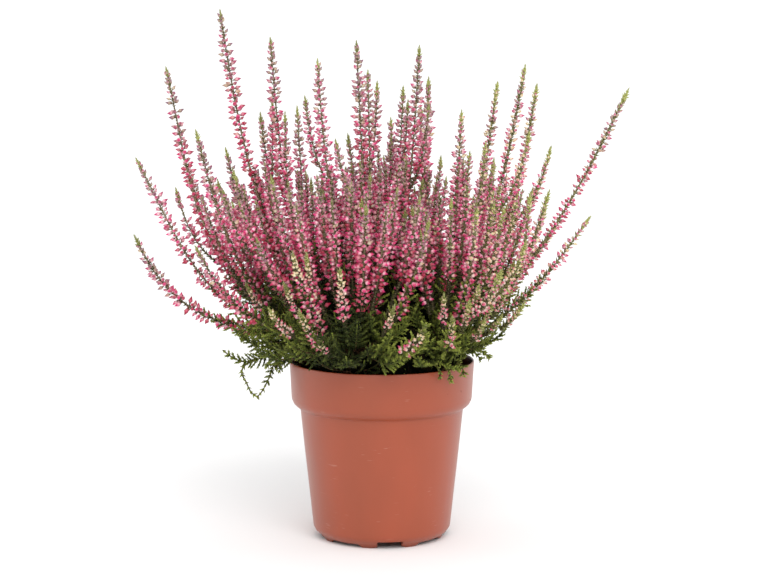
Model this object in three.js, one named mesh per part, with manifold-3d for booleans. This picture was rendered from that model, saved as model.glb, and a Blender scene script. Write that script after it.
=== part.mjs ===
// Potted heather: a bud-flowering heather in a round plastic nursery pot filled with compost.
//
// Units are millimetres, +Z is up, and the origin is on the ground under the middle of the pot.
// The plant is five rooted leafy clumps, one in the middle of the pot and one in each quarter
// round it. Each stands in a hole in the compost and carries flower spikes, which begin where
// their stems leave the dome that the leaves fill. Buds and leaves are raised from the faces of
// a slim stem by a formula, so that every shoot is one closed skin.

import * as THREE from "three";
import { mergeVertices } from "three/addons/utils/BufferGeometryUtils.js";
import Module from "manifold-3d";

const wasm = await Module();
wasm.setup();

// ---------------------------------------------------------------- driving dimensions

const DEGREE = Math.PI / 180;
const GAP = 0.3; // between pieces that touch on the real thing
const ROUND_SIDES = { pot: 32, compost: 16 };
const SLIVER = 0.02; // a joined piece is cleaned of points that stand out less than this
const CORNERS = [0, 120, 240]; // of a shoot's three-sided stem, in degrees
const GOLDEN = 0.618034;

const POT = {
  height: 116,
  wall: 1.2,
  rimRadius: 60, // outside, at the lip
  bandRadius: 59, // outside, at the foot of the straight band
  bandFoot: 91.4, // where the band turns in to the shoulder
  shoulder: { radius: 57.4, height: 88.6 },
  bodyTop: { radius: 53, height: 85 },
  bodyFoot: { radius: 44.7, height: 7.5 },
  ring: { outer: 39.6, inner: 37.4, foot: 2 }, // what the feet stand under
  floor: { under: 5.2, top: 6.4 },
};

// The base ring is cut away at the notches, and two feet stand beside each notch.
const NOTCH = { count: 4, first: -82.5, halfWidth: 11.5, top: 4.9, margin: 2 };
const FOOT = { fromNotch: 21.75, halfWidth: 9.25, inset: 0.4, top: 3.5 };
const DRAIN = { count: 4, first: -37.5, circle: 30, radius: 4, sides: 8, top: 10 };

const COMPOST = { edgeTop: 103, bed: { radius: 34, height: 106 }, middleTop: 107 };

const TRUNK = { radius: 3, sides: 6, foot: 84, top: 134 };
const CLUMPS = [
  { name: "middle", out: 0, angle: 0, shoots: 3, phase: 0, seed: 11 },
  { name: "front_right", out: 42, angle: -25, shoots: 5, phase: 0.2, seed: 23 },
  { name: "back_right", out: 42, angle: 65, shoots: 5, phase: 0, seed: 41 },
  { name: "back_left", out: 42, angle: 155, shoots: 5, phase: 0, seed: 37 },
  { name: "front_left", out: 42, angle: 245, shoots: 5, phase: 0.1, seed: 59 },
];
const MIDDLE_REACH = 46; // a spike whose tip is nearer the middle grows from the middle clump

// A clump's thick of leaves: sprigs raised from a round core, cut at the next clump's space.
const THICKET = {
  outward: 27, // half-width from the middle of the pot outwards
  sideways: 34, // half-width round the pot
  middleRadius: 20,
  halfHeight: 18,
  middle: 135,
  sprig: 0.5, // how far a sprig stands out, as a share of the core's size
  lowest: -0.3, // sprigs stand only above this share of the core's half-height
  inmost: -0.3, // and no nearer the middle of the pot than this share of its radius
  seam: 0.5, // between clumps
  middleSpace: { foot: 17, top: 36, height: 180, sides: 12 }, // radii of the middle's cone
};

// The leaves fill this dome, and leafy shoots end a little inside it.
const DOME = { radius: 90, height: 56, foot: 116 };
const SHOOTS = {
  reach: 0.93, // a tip's distance, as a share of the dome's
  lowest: 10, // degrees up from the rim
  highest: 50,
  middle: 72,
  sideRoom: 7, // kept free beside the next clump's shoots
  mostRoom: 0.7,
  start: 0.5, // bare below this share of the length
};

// A clump's stems part at one height; each is hidden in the thicket for a share of its length.
const STEM = { foot: 128, radius: 1.2, sunk: 0.35, steps: 2 };

// How a stem bows: the tip's lean as a share of the whole stem's, how much farther the foot
// leans for it, the foot's greatest lean, and how far each end's direction is kept.
const BOW = { tipLean: 0.45, footLean: 1.9, mostLean: 82, footPull: 0.3, tipPull: 0.42 };

// How much more the foot pulls on the flower stems at the left, which spread low and then rise
// steeply, and the distances left of the pot's axis over which that sets in.
const LEFT_BOW = { pull: 0.18, from: 104, to: 130 };

const BUDS = {
  stem: [1.25, 0.6], // half-width at the foot of the spike and under its green point
  tooth: [5, 2.4], // how far a bud stands out, from foot to point
  lean: 0.35, // how far a bud leans up, as a share of its length
  pitch: [9, 6.6], // between rings of buds, from foot to point
  missing: 1, // sides of the three that bear no bud, turn about
  twist: 21 * DEGREE,
  point: 9, // length of the green point
  pointRadius: 1.8,
};
const FORK = { longest: 62, out: 4 }; // a second spike's length and how soon it may part

// Where a bud or leaf stands between two rings: share of the step up, degrees on from the stem's
// corner, how much its size is drawn apart, and where the closed point is widest.
const TOOTH = { up: 0.4, turn: 0.3, corner: 65, smallest: 0.9, range: 0.2, pointFoot: 0.55 };

const LEAVES = {
  stem: [1.2, 0.8],
  tooth: [3, 2],
  lean: 0.7,
  pitch: [7, 6],
  missing: 1,
  twist: 35 * DEGREE,
  point: 5,
  pointRadius: 1.3,
};

// Leafy shoots that trail over the rim, each by the points that it passes.
const TRAILING = [
  [[-46, 8, 130], [-66, 0, 128], [-82, -6, 124], [-91, -9, 114], [-87, -10, 101], [-82, -11, 93]],
  [[-44, 4, 128], [-58, -6, 125], [-67, -11, 118], [-72, -14, 108], [-78, -16, 92]],
  [[-50, 10, 130], [-70, 6, 130], [-88, 4, 127], [-104, 0, 122]],
  [[20, -28, 127], [33, -50, 124], [39, -59, 117], [42, -63, 107]],
  [[40, -30, 126], [56, -40, 123], [66, -45, 116], [70, -47, 109]],
  [[-20, -42, 127], [-30, -56, 124], [-36, -64, 119], [-39, -68, 112]],
  [[30, 40, 127], [46, 52, 125], [54, 60, 118], [58, 64, 109]],
  [[-42, 30, 127], [-58, 40, 124], [-66, 45, 117], [-69, 47, 108]],
];

// Flower spikes: the tip's x, y and z, how many degrees the tip leans where the usual bow
// doesn't fit, the tip of a second spike that forks off the same stem, and whether the spike is
// a young one with pale buds.
const SPIKES = [
  { tip: [-104, 15, 341], lean: 8 },
  { tip: [-72, 20, 323], lean: 4, side: [-62, 2, 276] },
  { tip: [-41, 4, 310], lean: 3, side: [-50, 24, 285] },
  { tip: [-138, 2, 305], lean: 12 },
  { tip: [-116, -42, 268] },
  { tip: [-159, 12, 246], lean: 27 },
  { tip: [-156, -34, 201], lean: 24 },
  { tip: [-130, 36, 244], lean: 19, side: [-134, 18, 226] },
  { tip: [-103, 44, 250], side: [-110, 66, 227] },
  { tip: [-93, -42, 243], side: [-98, -66, 233] },
  { tip: [-81, 64, 272], side: [-72, 46, 281] },
  { tip: [-57, 80, 275], side: [-72, 98, 234] },
  { tip: [-68, -70, 242], side: [-76, -92, 206] },
  { tip: [-115, -68, 198], lean: 26 },
  { tip: [-54, -96, 198], side: [-46, -84, 196], pale: true },
  { tip: [-16, -12, 322], lean: 3, side: [-29, -30, 261] },
  { tip: [-9, 24, 302], lean: 3, side: [-3, 42, 294] },
  { tip: [6, 86, 267] },
  { tip: [-23, 86, 256] },
  { tip: [14, 34, 291], side: [17, 16, 283] },
  { tip: [24, -6, 319], lean: 3, side: [30, -26, 283] },
  { tip: [31, 54, 296], side: [26, 76, 276] },
  { tip: [40, 88, 241], side: [44, 106, 225] },
  { tip: [51, -8, 278], lean: 4, side: [57, 12, 250] },
  { tip: [75, 18, 295], lean: 11, side: [74, 44, 243] },
  { tip: [65, -42, 260], side: [70, -58, 224] },
  { tip: [76, 84, 236], side: [86, 98, 208] },
  { tip: [91, -14, 307], lean: 10, side: [93, -34, 267] },
  { tip: [101, 28, 293], lean: 11, side: [109, 6, 254] },
  { tip: [105, -42, 230], side: [92, -60, 230] },
  { tip: [159, 10, 291], lean: 26 },
  { tip: [133, -16, 211], lean: 34 },
  { tip: [75, -82, 223], side: [88, -92, 204] },
  { tip: [58, -96, 224], side: [72, -104, 188] },
  { tip: [-7, -54, 241], side: [-20, -64, 234] },
  { tip: [-12, -82, 229] },
  { tip: [-9, -112, 228] },
  { tip: [5, -86, 227] },
  { tip: [43, -70, 228] },
  { tip: [29, -98, 218] },
  { tip: [-25, -112, 190], pale: true },
  { tip: [-50, -103, 164], pale: true },
  { tip: [43, -106, 160], pale: true },
  { tip: [27, -108, 155], pale: true },
  { tip: [-38, -94, 145], pale: true },
  { tip: [-102, 92, 210] },
  { tip: [-46, 112, 214] },
  { tip: [-12, 113, 226], side: [-26, 111, 196] },
  { tip: [14, 112, 204] },
  { tip: [62, 113, 204] },
  { tip: [106, 74, 224], side: [118, 82, 196] },
  { tip: [108, 34, 212] },
  { tip: [-106, 78, 212], side: [-115, 62, 194] },
];

// ---------------------------------------------------------------- solids and meshes

function random(seed) {
  let state = seed;
  return () => {
    state = (state * 48271) % 2147483647;
    return state / 2147483647;
  };
}

function solid(geometry) {
  const bare = new THREE.BufferGeometry();
  bare.setAttribute("position", geometry.getAttribute("position"));
  if (geometry.index) bare.setIndex(geometry.index);
  const merged = mergeVertices(bare, 1e-4);
  return new wasm.Manifold(
    new wasm.Mesh({
      numProp: 3,
      vertProperties: new Float32Array(merged.attributes.position.array),
      triVerts: new Uint32Array(merged.index.array),
    }),
  );
}

function named(name, made, material) {
  const { vertProperties, triVerts } = made.getMesh();
  const geometry = new THREE.BufferGeometry();
  geometry.setAttribute("position", new THREE.BufferAttribute(vertProperties, 3));
  geometry.setIndex(new THREE.BufferAttribute(triVerts, 1));
  geometry.computeVertexNormals();
  const mesh = new THREE.Mesh(geometry, material);
  mesh.name = name;
  return mesh;
}

function join(solids) {
  return solids.reduce((whole, piece) => whole.add(piece)).setTolerance(SLIVER);
}

function largest(made) {
  return made.decompose().reduce((a, b) => (a.volume() > b.volume() ? a : b));
}

// Turns a profile of [radius, height] points, which ends on the axis, into a round solid.
function turned(profile, sides) {
  const points = profile.map(([r, z]) => new THREE.Vector2(r, z));
  return solid(new THREE.LatheGeometry(points, sides).rotateX(Math.PI / 2));
}

// A block bent round the axis, between two radii, two heights and two angles in degrees.
function arcBlock([inner, outer], [bottom, top], middle, half) {
  const [from, to] = [(middle - half) * DEGREE, (middle + half) * DEGREE];
  const outline = new THREE.Shape();
  outline.absarc(0, 0, outer, from, to, false);
  outline.absarc(0, 0, inner, to, from, true);
  const depth = top - bottom;
  const geometry = new THREE.ExtrudeGeometry(outline, {
    depth,
    bevelEnabled: false,
    curveSegments: 1,
  });
  return solid(geometry.translate(0, 0, bottom));
}

function post(x, y, radius, sides, bottom, top) {
  const geometry = new THREE.CylinderGeometry(radius, radius, top - bottom, sides);
  return solid(geometry.rotateX(Math.PI / 2).translate(x, y, (top + bottom) / 2));
}

// Closes a run of rings, each with the same number of points, with a flat foot and an apex.
// Where there is a bud between two rings, the face under it is drawn out to the bud's tip.
function skin(rings, apex, budAt) {
  const sides = rings[0].length;
  const points = [...rings.flat(), apex];
  const top = points.length - 1;
  const faces = [];
  for (let j = 1; j < sides - 1; j++) faces.push(0, j + 1, j);
  for (let k = 0; k < rings.length - 1; k++) {
    for (let j = 0; j < sides; j++) {
      const next = (j + 1) % sides;
      const [a, b] = [k * sides + j, k * sides + next];
      const [c, d] = [b + sides, a + sides];
      const bud = budAt(k, j);
      faces.push(a, c, d);
      if (bud) faces.push(a, b, points.length, b, c, points.length, c, a, points.length);
      else faces.push(a, b, c);
      if (bud) points.push(bud);
    }
  }
  for (let j = 0; j < sides; j++) {
    faces.push(top - sides + j, top - sides + ((j + 1) % sides), top);
  }
  return solid(new THREE.BufferGeometry().setFromPoints(points).setIndex(faces));
}

// ---------------------------------------------------------------- stems

// A stem in one upright plane, which leaves its foot at one lean and ends at another.
function stemPath(foot, tip, tipLean, footPull = BOW.footPull) {
  const out = new THREE.Vector3(tip.x - foot.x, tip.y - foot.y, 0);
  const across = out.length();
  out.normalize();
  const chord = tip.distanceTo(foot);
  const lean = Math.atan2(across, tip.z - foot.z);
  const end = tipLean === undefined ? BOW.tipLean * lean : tipLean * DEGREE;
  const start = Math.min(BOW.mostLean * DEGREE, lean + BOW.footLean * (lean - end));
  const step = (from, angle, length) =>
    new THREE.Vector3(0, 0, Math.cos(angle) * length)
      .addScaledVector(out, Math.sin(angle) * length)
      .add(from);
  const curve = new THREE.CubicBezierCurve3(
    foot,
    step(foot, start, footPull * chord),
    step(tip, end, -BOW.tipPull * chord),
    tip,
  );
  return { curve, length: curve.getLength(), side: new THREE.Vector3(-out.y, out.x, 0) };
}

function trailPath(points) {
  const curve = new THREE.CatmullRomCurve3(points.map((point) => new THREE.Vector3(...point)));
  const across = curve.getPoint(1).sub(curve.getPoint(0)).setZ(0).normalize();
  return { curve, length: curve.getLength(), side: new THREE.Vector3(-across.y, across.x, 0) };
}

// The point at a length along a stem, raised off it at an angle round it.
function around(path, distance, angle, radius, up = 0) {
  const u = THREE.MathUtils.clamp(distance / path.length, 0, 1);
  const along = path.curve.getTangentAt(u);
  const front = new THREE.Vector3().crossVectors(along, path.side);
  return path.curve
    .getPointAt(u)
    .addScaledVector(path.side, radius * Math.cos(angle))
    .addScaledVector(front, radius * Math.sin(angle))
    .addScaledVector(along, up);
}

function ringAround(path, at, turn, radius) {
  return CORNERS.map((corner) => around(path, at, corner * DEGREE + turn, radius));
}

function bareStem(path, from, to, steps) {
  const rings = [];
  for (let k = 0; k <= steps; k++) {
    rings.push(ringAround(path, from + ((to - from) * k) / steps, 0, STEM.radius));
  }
  return skin(rings, around(path, to, 0, 0), () => null);
}

// A budded or leafy shoot: a three-sided stem with buds or leaves round it at each step, which
// draw closer towards the tip, and a closed leafy point.
function toothedShoot(path, from, to, form, draw) {
  const between = ([foot, tip], share) => foot + (tip - foot) * share;
  const toothed = to - from - form.point;
  const steps = Math.max(2, Math.round(toothed / between(form.pitch, 0.5)));
  const widen = (form.pitch[0] - form.pitch[1]) / (form.pitch[0] + form.pitch[1]);
  const place = (k) => from + toothed * (k / steps) * (1 + widen * (1 - k / steps));
  const rings = [];
  for (let k = 0; k <= steps; k++) {
    rings.push(ringAround(path, place(k), form.twist * k, between(form.stem, k / steps)));
  }
  const pointFoot = to - TOOTH.pointFoot * form.point;
  rings.push(ringAround(path, pointFoot, form.twist * steps, form.pointRadius));
  const budAt = (k, j) => {
    if (k >= steps || (form.missing && (k + j) % 3 === 0)) return null;
    const share = k / steps;
    const tooth = between(form.tooth, share) * (TOOTH.smallest + TOOTH.range * draw());
    const angle = (CORNERS[j] + TOOTH.corner) * DEGREE + form.twist * (k + TOOTH.turn);
    const out = between(form.stem, share) / 2 + tooth;
    return around(path, place(k + TOOTH.up), angle, out, tooth * form.lean);
  };
  return skin(rings, around(path, to, 0, 0), budAt);
}

function isInDome(point, share = 1) {
  const across = Math.hypot(point.x, point.y) / (DOME.radius * share);
  const up = (point.z - DOME.foot) / (DOME.height * share);
  return across ** 2 + Math.max(0, up) ** 2 < 1;
}

// The length along a stem at which it leaves the dome of leaves.
function domeExit(path) {
  const step = 0.5;
  let at = 0;
  while (at < path.length && isInDome(path.curve.getPointAt(at / path.length))) at += step;
  return at;
}

// ---------------------------------------------------------------- pieces

function makePot() {
  const { wall, shoulder, bodyTop, bodyFoot, ring, floor } = POT;
  const profile = [
    [0, floor.under],
    [ring.inner, floor.under],
    [ring.inner, ring.foot],
    [ring.outer, ring.foot],
    [bodyFoot.radius, bodyFoot.height],
    [bodyTop.radius, bodyTop.height],
    [shoulder.radius, shoulder.height],
    [POT.bandRadius, POT.bandFoot],
    [POT.rimRadius, POT.height],
    [POT.rimRadius - wall, POT.height],
    [POT.bandRadius - wall, POT.bandFoot],
    [shoulder.radius - wall, shoulder.height],
    [bodyTop.radius - wall, bodyTop.height],
    [bodyFoot.radius - wall, bodyFoot.height],
    [ring.inner, floor.top],
    [0, floor.top],
  ];
  let pot = turned(profile, ROUND_SIDES.pot);
  const footSpan = [ring.inner + FOOT.inset, ring.outer - FOOT.inset];
  for (let i = 0; i < NOTCH.count; i++) {
    const middle = NOTCH.first + (i * 360) / NOTCH.count;
    for (const side of [-1, 1]) {
      const at = middle + side * FOOT.fromNotch;
      pot = pot.add(arcBlock(footSpan, [0, FOOT.top], at, FOOT.halfWidth));
    }
    const across = [ring.inner - NOTCH.margin, bodyTop.radius];
    const upright = [-NOTCH.margin, NOTCH.top];
    pot = pot.subtract(arcBlock(across, upright, middle, NOTCH.halfWidth));
  }
  for (let i = 0; i < DRAIN.count; i++) {
    const angle = (DRAIN.first + (i * 360) / DRAIN.count) * DEGREE;
    const [x, y] = [DRAIN.circle * Math.cos(angle), DRAIN.circle * Math.sin(angle)];
    pot = pot.subtract(post(x, y, DRAIN.radius, DRAIN.sides, 0, DRAIN.top));
  }
  return pot.setTolerance(SLIVER);
}

function makeCompost() {
  const { wall, shoulder, bodyTop, bodyFoot, ring, floor } = POT;
  const inset = wall + GAP;
  const bandSlope = (POT.rimRadius - POT.bandRadius) / (POT.height - POT.bandFoot);
  const edge = POT.bandRadius + bandSlope * (COMPOST.edgeTop - POT.bandFoot) - inset;
  const profile = [
    [0, floor.top + GAP],
    [ring.inner - GAP, floor.top + GAP],
    [bodyFoot.radius - inset, bodyFoot.height + GAP],
    [bodyTop.radius - inset, bodyTop.height + GAP],
    [shoulder.radius - inset, shoulder.height + GAP],
    [POT.bandRadius - inset, POT.bandFoot],
    [edge, COMPOST.edgeTop],
    [COMPOST.bed.radius, COMPOST.bed.height],
    [0, COMPOST.middleTop],
  ];
  const hole = (clump) => {
    const { x, y } = trunkPlace(clump);
    const [bottom, top] = [TRUNK.foot - GAP, POT.height];
    return post(x, y, TRUNK.radius + GAP, TRUNK.sides, bottom, top);
  };
  const fill = turned(profile, ROUND_SIDES.compost);
  return CLUMPS.reduce((bed, clump) => bed.subtract(hole(clump)), fill);
}

function trunkPlace(clump) {
  const angle = clump.angle * DEGREE;
  return new THREE.Vector3(clump.out * Math.cos(angle), clump.out * Math.sin(angle), STEM.foot);
}

// The space that a clump's thicket keeps to.
function clumpSpace(clump) {
  const { middleSpace, seam } = THICKET;
  const core = (room) => {
    const { foot, top, height, sides } = middleSpace;
    const deep = height - DOME.foot;
    const cone = new THREE.CylinderGeometry(top + room, foot + room, 2 * deep, sides);
    return solid(cone.rotateX(Math.PI / 2).translate(0, 0, DOME.foot));
  };
  if (clump.out === 0) return core(0);
  const span = 2 * DOME.radius;
  const quarter = new THREE.BoxGeometry(span, span, span)
    .translate(span / 2 + seam, span / 2 + seam, DOME.foot)
    .rotateZ((clump.angle - 45) * DEGREE);
  return solid(quarter).subtract(core(seam));
}

// Round core with a sprig raised from each of its faces.
function makeThicket(clump, draw) {
  const isMiddle = clump.out === 0;
  const at = new THREE.IcosahedronGeometry(1, isMiddle ? 1 : 2).getAttribute("position");
  const { outward, sideways, middleRadius, halfHeight } = THICKET;
  const size = isMiddle
    ? new THREE.Vector3(middleRadius, middleRadius, halfHeight)
    : new THREE.Vector3(outward, sideways, halfHeight);
  const centre = new THREE.Vector3(clump.out, 0, THICKET.middle);
  const up = new THREE.Vector3(0, 0, 1);
  const place = (unit) =>
    unit.clone().multiply(size).add(centre).applyAxisAngle(up, clump.angle * DEGREE);
  const points = [];
  for (let i = 0; i < at.count; i += 3) {
    const corners = [0, 1, 2].map((k) => new THREE.Vector3().fromBufferAttribute(at, i + k));
    const tip = corners
      .reduce((sum, corner) => sum.addScaledVector(corner, 1 + draw()), new THREE.Vector3())
      .setLength(1 + THICKET.sprig * (0.5 + draw()));
    if (tip.z < THICKET.lowest || (!isMiddle && tip.x < THICKET.inmost)) {
      points.push(...corners.map(place));
      continue;
    }
    for (let k = 0; k < 3; k++) {
      points.push(place(corners[k]), place(corners[(k + 1) % 3]), place(tip));
    }
  }
  const sprigs = solid(new THREE.BufferGeometry().setFromPoints(points));
  return largest(sprigs.intersect(clumpSpace(clump)));
}

// Tips for a clump's leafy shoots, spread over its part of the dome by a golden-ratio rule.
function shootTips(clump) {
  const tips = [];
  for (let i = 0; i < clump.shoots; i++) {
    const share = (i + 0.5) / clump.shoots;
    const degrees = SHOOTS.lowest + (SHOOTS.highest - SHOOTS.lowest) * share;
    const height = (clump.out === 0 ? SHOOTS.middle : degrees) * DEGREE;
    const across = DOME.radius * SHOOTS.reach * Math.cos(height);
    const room = Math.asin(Math.min(SHOOTS.mostRoom, SHOOTS.sideRoom / across));
    const width = clump.out === 0 ? 2 * Math.PI : Math.PI / 2 - 2 * room;
    const turn = clump.angle * DEGREE + width * (((clump.phase + i * GOLDEN) % 1) - 0.5);
    const z = DOME.foot + DOME.height * SHOOTS.reach * Math.sin(height);
    tips.push(new THREE.Vector3(across * Math.cos(turn), across * Math.sin(turn), z));
  }
  return tips;
}

function makeClump(clump, paths, trails) {
  const draw = random(clump.seed);
  const { x, y } = trunkPlace(clump);
  const trunk = post(x, y, TRUNK.radius, TRUNK.sides, TRUNK.foot, TRUNK.top);
  const stems = paths.map((path) => {
    const exit = domeExit(path);
    return bareStem(path, STEM.sunk * exit, exit, STEM.steps);
  });
  const shoots = shootTips(clump).map((tip) => {
    const path = stemPath(trunkPlace(clump), tip);
    return toothedShoot(path, SHOOTS.start * path.length, path.length, LEAVES, draw);
  });
  const trailing = trails.map((points) => {
    const path = trailPath(points);
    return toothedShoot(path, 0, path.length, LEAVES, draw);
  });
  return largest(join([trunk, makeThicket(clump, draw), ...stems, ...shoots, ...trailing]));
}

function makeSpike(path, spike, draw) {
  const foot = domeExit(path) + GAP;
  const main = toothedShoot(path, foot, path.length, BUDS, draw);
  if (!spike.side) return main;
  const tip = new THREE.Vector3(...spike.side);
  let parting = foot + FORK.out;
  while (around(path, parting, 0, 0).distanceTo(tip) > FORK.longest) parting += 1;
  const fork = stemPath(around(path, parting, 0, 0), tip);
  return largest(join([main, toothedShoot(fork, 0, fork.length, BUDS, draw)]));
}

// ---------------------------------------------------------------- the potted heather

const terracotta = new THREE.MeshStandardMaterial({
  name: "pot_plastic",
  color: 0xb4624c,
  roughness: 0.45,
  metalness: 0,
});
const soil = new THREE.MeshStandardMaterial({
  name: "compost",
  color: 0x2b1d14,
  roughness: 0.95,
  metalness: 0,
});
const green = new THREE.MeshStandardMaterial({
  name: "foliage",
  color: 0x44602b,
  roughness: 0.7,
  metalness: 0,
});
const pink = new THREE.MeshStandardMaterial({
  name: "buds",
  color: 0xc23a72,
  roughness: 0.6,
  metalness: 0,
});

const cream = new THREE.MeshStandardMaterial({
  name: "pale_buds",
  color: 0xe3c4ae,
  roughness: 0.6,
  metalness: 0,
});

const group = new THREE.Group();
group.add(named("pot", makePot(), terracotta));
group.add(named("compost", makeCompost(), soil));

function spikePull([x]) {
  const leftness = (-x - LEFT_BOW.from) / (LEFT_BOW.to - LEFT_BOW.from);
  return BOW.footPull + LEFT_BOW.pull * THREE.MathUtils.clamp(leftness, 0, 1);
}

// A spike or a trailing shoot grows from the clump whose part of the pot its tip is over.
function grownFrom(clump, [x, y]) {
  const isOverMiddle = Math.hypot(x, y) < MIDDLE_REACH;
  if (clump.out === 0 || isOverMiddle) return clump.out === 0 && isOverMiddle;
  const apart = Math.atan2(y, x) - clump.angle * DEGREE;
  return Math.cos(apart) > Math.SQRT1_2;
}

for (const clump of CLUMPS) {
  const spikes = SPIKES.filter((spike) => grownFrom(clump, spike.tip));
  const trails = TRAILING.filter((points) => grownFrom(clump, points.at(-1)));
  const paths = spikes.map((spike) =>
    stemPath(trunkPlace(clump), new THREE.Vector3(...spike.tip), spike.lean, spikePull(spike.tip)),
  );
  group.add(named(`leafy_clump_${clump.name}`, makeClump(clump, paths, trails), green));
  spikes.forEach((spike, i) => {
    const name = `spike_${clump.name}_${String(i + 1).padStart(2, "0")}`;
    const made = makeSpike(paths[i], spike, random(clump.seed + i + 1));
    group.add(named(name, made, spike.pale ? cream : pink));
  });
}

export default group;
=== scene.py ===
"""A potted budding heather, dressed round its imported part.

The pot is remade smooth, the compost gets its crumbs, and the clumps and spikes of the part are
replaced by finer stems, leaves and buds that keep their places. Sizes are in millimetres, as in
the part's source, and become metres where a mesh is made.
"""

import logging
import math
from collections.abc import Iterator
from dataclasses import dataclass, field
from enum import Enum

import bpy
import numpy as np
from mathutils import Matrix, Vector


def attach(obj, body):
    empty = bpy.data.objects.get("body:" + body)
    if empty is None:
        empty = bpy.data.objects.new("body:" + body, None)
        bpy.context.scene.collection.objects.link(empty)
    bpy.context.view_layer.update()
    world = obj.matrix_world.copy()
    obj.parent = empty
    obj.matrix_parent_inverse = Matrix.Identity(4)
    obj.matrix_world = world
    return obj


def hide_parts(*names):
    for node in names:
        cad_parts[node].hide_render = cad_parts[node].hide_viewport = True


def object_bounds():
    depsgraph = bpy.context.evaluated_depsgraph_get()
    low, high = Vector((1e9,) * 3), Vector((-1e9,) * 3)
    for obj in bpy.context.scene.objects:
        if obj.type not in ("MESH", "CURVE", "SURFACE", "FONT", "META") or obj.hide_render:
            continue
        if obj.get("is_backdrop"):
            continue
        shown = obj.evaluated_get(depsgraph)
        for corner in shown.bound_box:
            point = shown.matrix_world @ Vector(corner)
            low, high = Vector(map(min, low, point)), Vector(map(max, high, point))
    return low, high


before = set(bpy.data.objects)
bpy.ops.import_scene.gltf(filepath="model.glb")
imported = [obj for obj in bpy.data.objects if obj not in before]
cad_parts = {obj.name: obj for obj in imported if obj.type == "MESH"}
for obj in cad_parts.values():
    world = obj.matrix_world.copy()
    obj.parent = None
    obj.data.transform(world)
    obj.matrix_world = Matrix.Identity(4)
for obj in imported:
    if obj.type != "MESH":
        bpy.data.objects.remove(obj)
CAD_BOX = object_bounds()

LOG = logging.getLogger("heather")
MM = 0.001
UP = np.array([0.0, 0.0, 1.0])

# How many square decimetres a square metre has.
DECIMETRES = 100.0

# The golden share of a turn, which spreads things round evenly and without a pattern.
GOLDEN = 0.618034

Colour = tuple[float, float, float, float]
Point = tuple[float, float, float]
Face = tuple[int, ...]
Socket = bpy.types.NodeSocket


def colour(code: str) -> Colour:
    """Turns a colour as it looks on a screen into the linear one that shaders take.

    Args:
        code: Six hexadecimal digits, such as "b4624c".

    Returns:
        The linear red, green and blue, and full opacity.
    """
    shares = [int(code[i : i + 2], 16) / 255 for i in (0, 2, 4)]
    linear = [s / 12.92 if s <= 0.04045 else ((s + 0.055) / 1.055) ** 2.4 for s in shares]
    return (linear[0], linear[1], linear[2], 1.0)


def ease(value: np.ndarray | float) -> np.ndarray:
    """Eases a share from 0 to 1, and holds it there outside that range."""
    share = np.clip(value, 0.0, 1.0)
    return share * share * (3 - 2 * share)


# ---------------------------------------------------------------- node trees


class NodeSheet:
    """A node tree in the making, with short ways to add, feed and join its nodes."""

    def __init__(self, tree: bpy.types.NodeTree) -> None:
        """Starts on a tree."""
        self.tree = tree

    def feed(self, node: bpy.types.Node, sockets: dict) -> None:
        """Feeds a node's inputs.

        Args:
            node: The node.
            sockets: For an input's name or number, the socket that feeds it or its value.
        """
        for key, value in sockets.items():
            if isinstance(value, bpy.types.NodeSocket):
                self.tree.links.new(value, node.inputs[key])
            else:
                node.inputs[key].default_value = value

    def add(self, kind: str, sockets: dict | None = None, **settings: object) -> bpy.types.Node:
        """Adds a node.

        Args:
            kind: Blender's name for the node.
            sockets: For an input's name or number, the socket that feeds it or its value.
            settings: The node's own properties.

        Returns:
            The new node.
        """
        node = self.tree.nodes.new(kind)
        for name, value in settings.items():
            setattr(node, name, value)
        self.feed(node, sockets or {})
        return node

    def math(self, operation: str, first: object, second: object = 0.0) -> Socket:
        """Adds a sum, product or other operation on two numbers, and returns its result."""
        return self.add("ShaderNodeMath", {0: first, 1: second}, operation=operation).outputs[0]

    def ranged(self, value: Socket, source: tuple, target: tuple = (0, 1)) -> Socket:
        """Maps a number from one range to another, held at its ends, and returns it."""
        inputs = {0: value, 1: source[0], 2: source[1], 3: target[0], 4: target[1]}
        return self.add("ShaderNodeMapRange", inputs).outputs[0]


class ShaderSheet(NodeSheet):
    """The nodes of a material."""

    def mix(self, share: Socket, low: object, high: object) -> Socket:
        """Mixes two colours by a share, and returns the result."""
        inputs = {0: share, 6: low, 7: high}
        return self.add("ShaderNodeMix", inputs, data_type="RGBA").outputs[2]

    def fade(self, value: Socket, start: float, end: float, low: object, high: object) -> Socket:
        """Fades from one colour to another as a number runs from a start to an end."""
        return self.mix(self.ranged(value, (start, end)), low, high)

    def attribute(self, name: str) -> Socket:
        """Returns a number that the mesh bears under a name."""
        node = self.add("ShaderNodeAttribute", attribute_type="GEOMETRY", attribute_name=name)
        return node.outputs["Fac"]

    def noise(self, scale: float, detail: float = 2.0, stretch: Point = (1, 1, 1)) -> Socket:
        """Adds smooth noise around one half, on the object's own coordinates.

        Args:
            scale: How many waves there are to a metre.
            detail: How many finer layers it has.
            stretch: What each coordinate is multiplied by.

        Returns:
            The noise's value.
        """
        source = self.add("ShaderNodeTexCoord").outputs["Object"]
        where = self.add("ShaderNodeMapping", {"Vector": source, "Scale": stretch}).outputs[0]
        inputs = {"Vector": where, "Scale": scale, "Detail": detail}
        return self.add("ShaderNodeTexNoise", inputs).outputs[0]

    def bump(self, height: Socket, depth: float) -> Socket:
        """Returns normals bent by a height, of which 1 stands for a depth in metres."""
        inputs = {"Height": height, "Distance": depth, "Strength": 1.0}
        return self.add("ShaderNodeBump", inputs).outputs[0]


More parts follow.
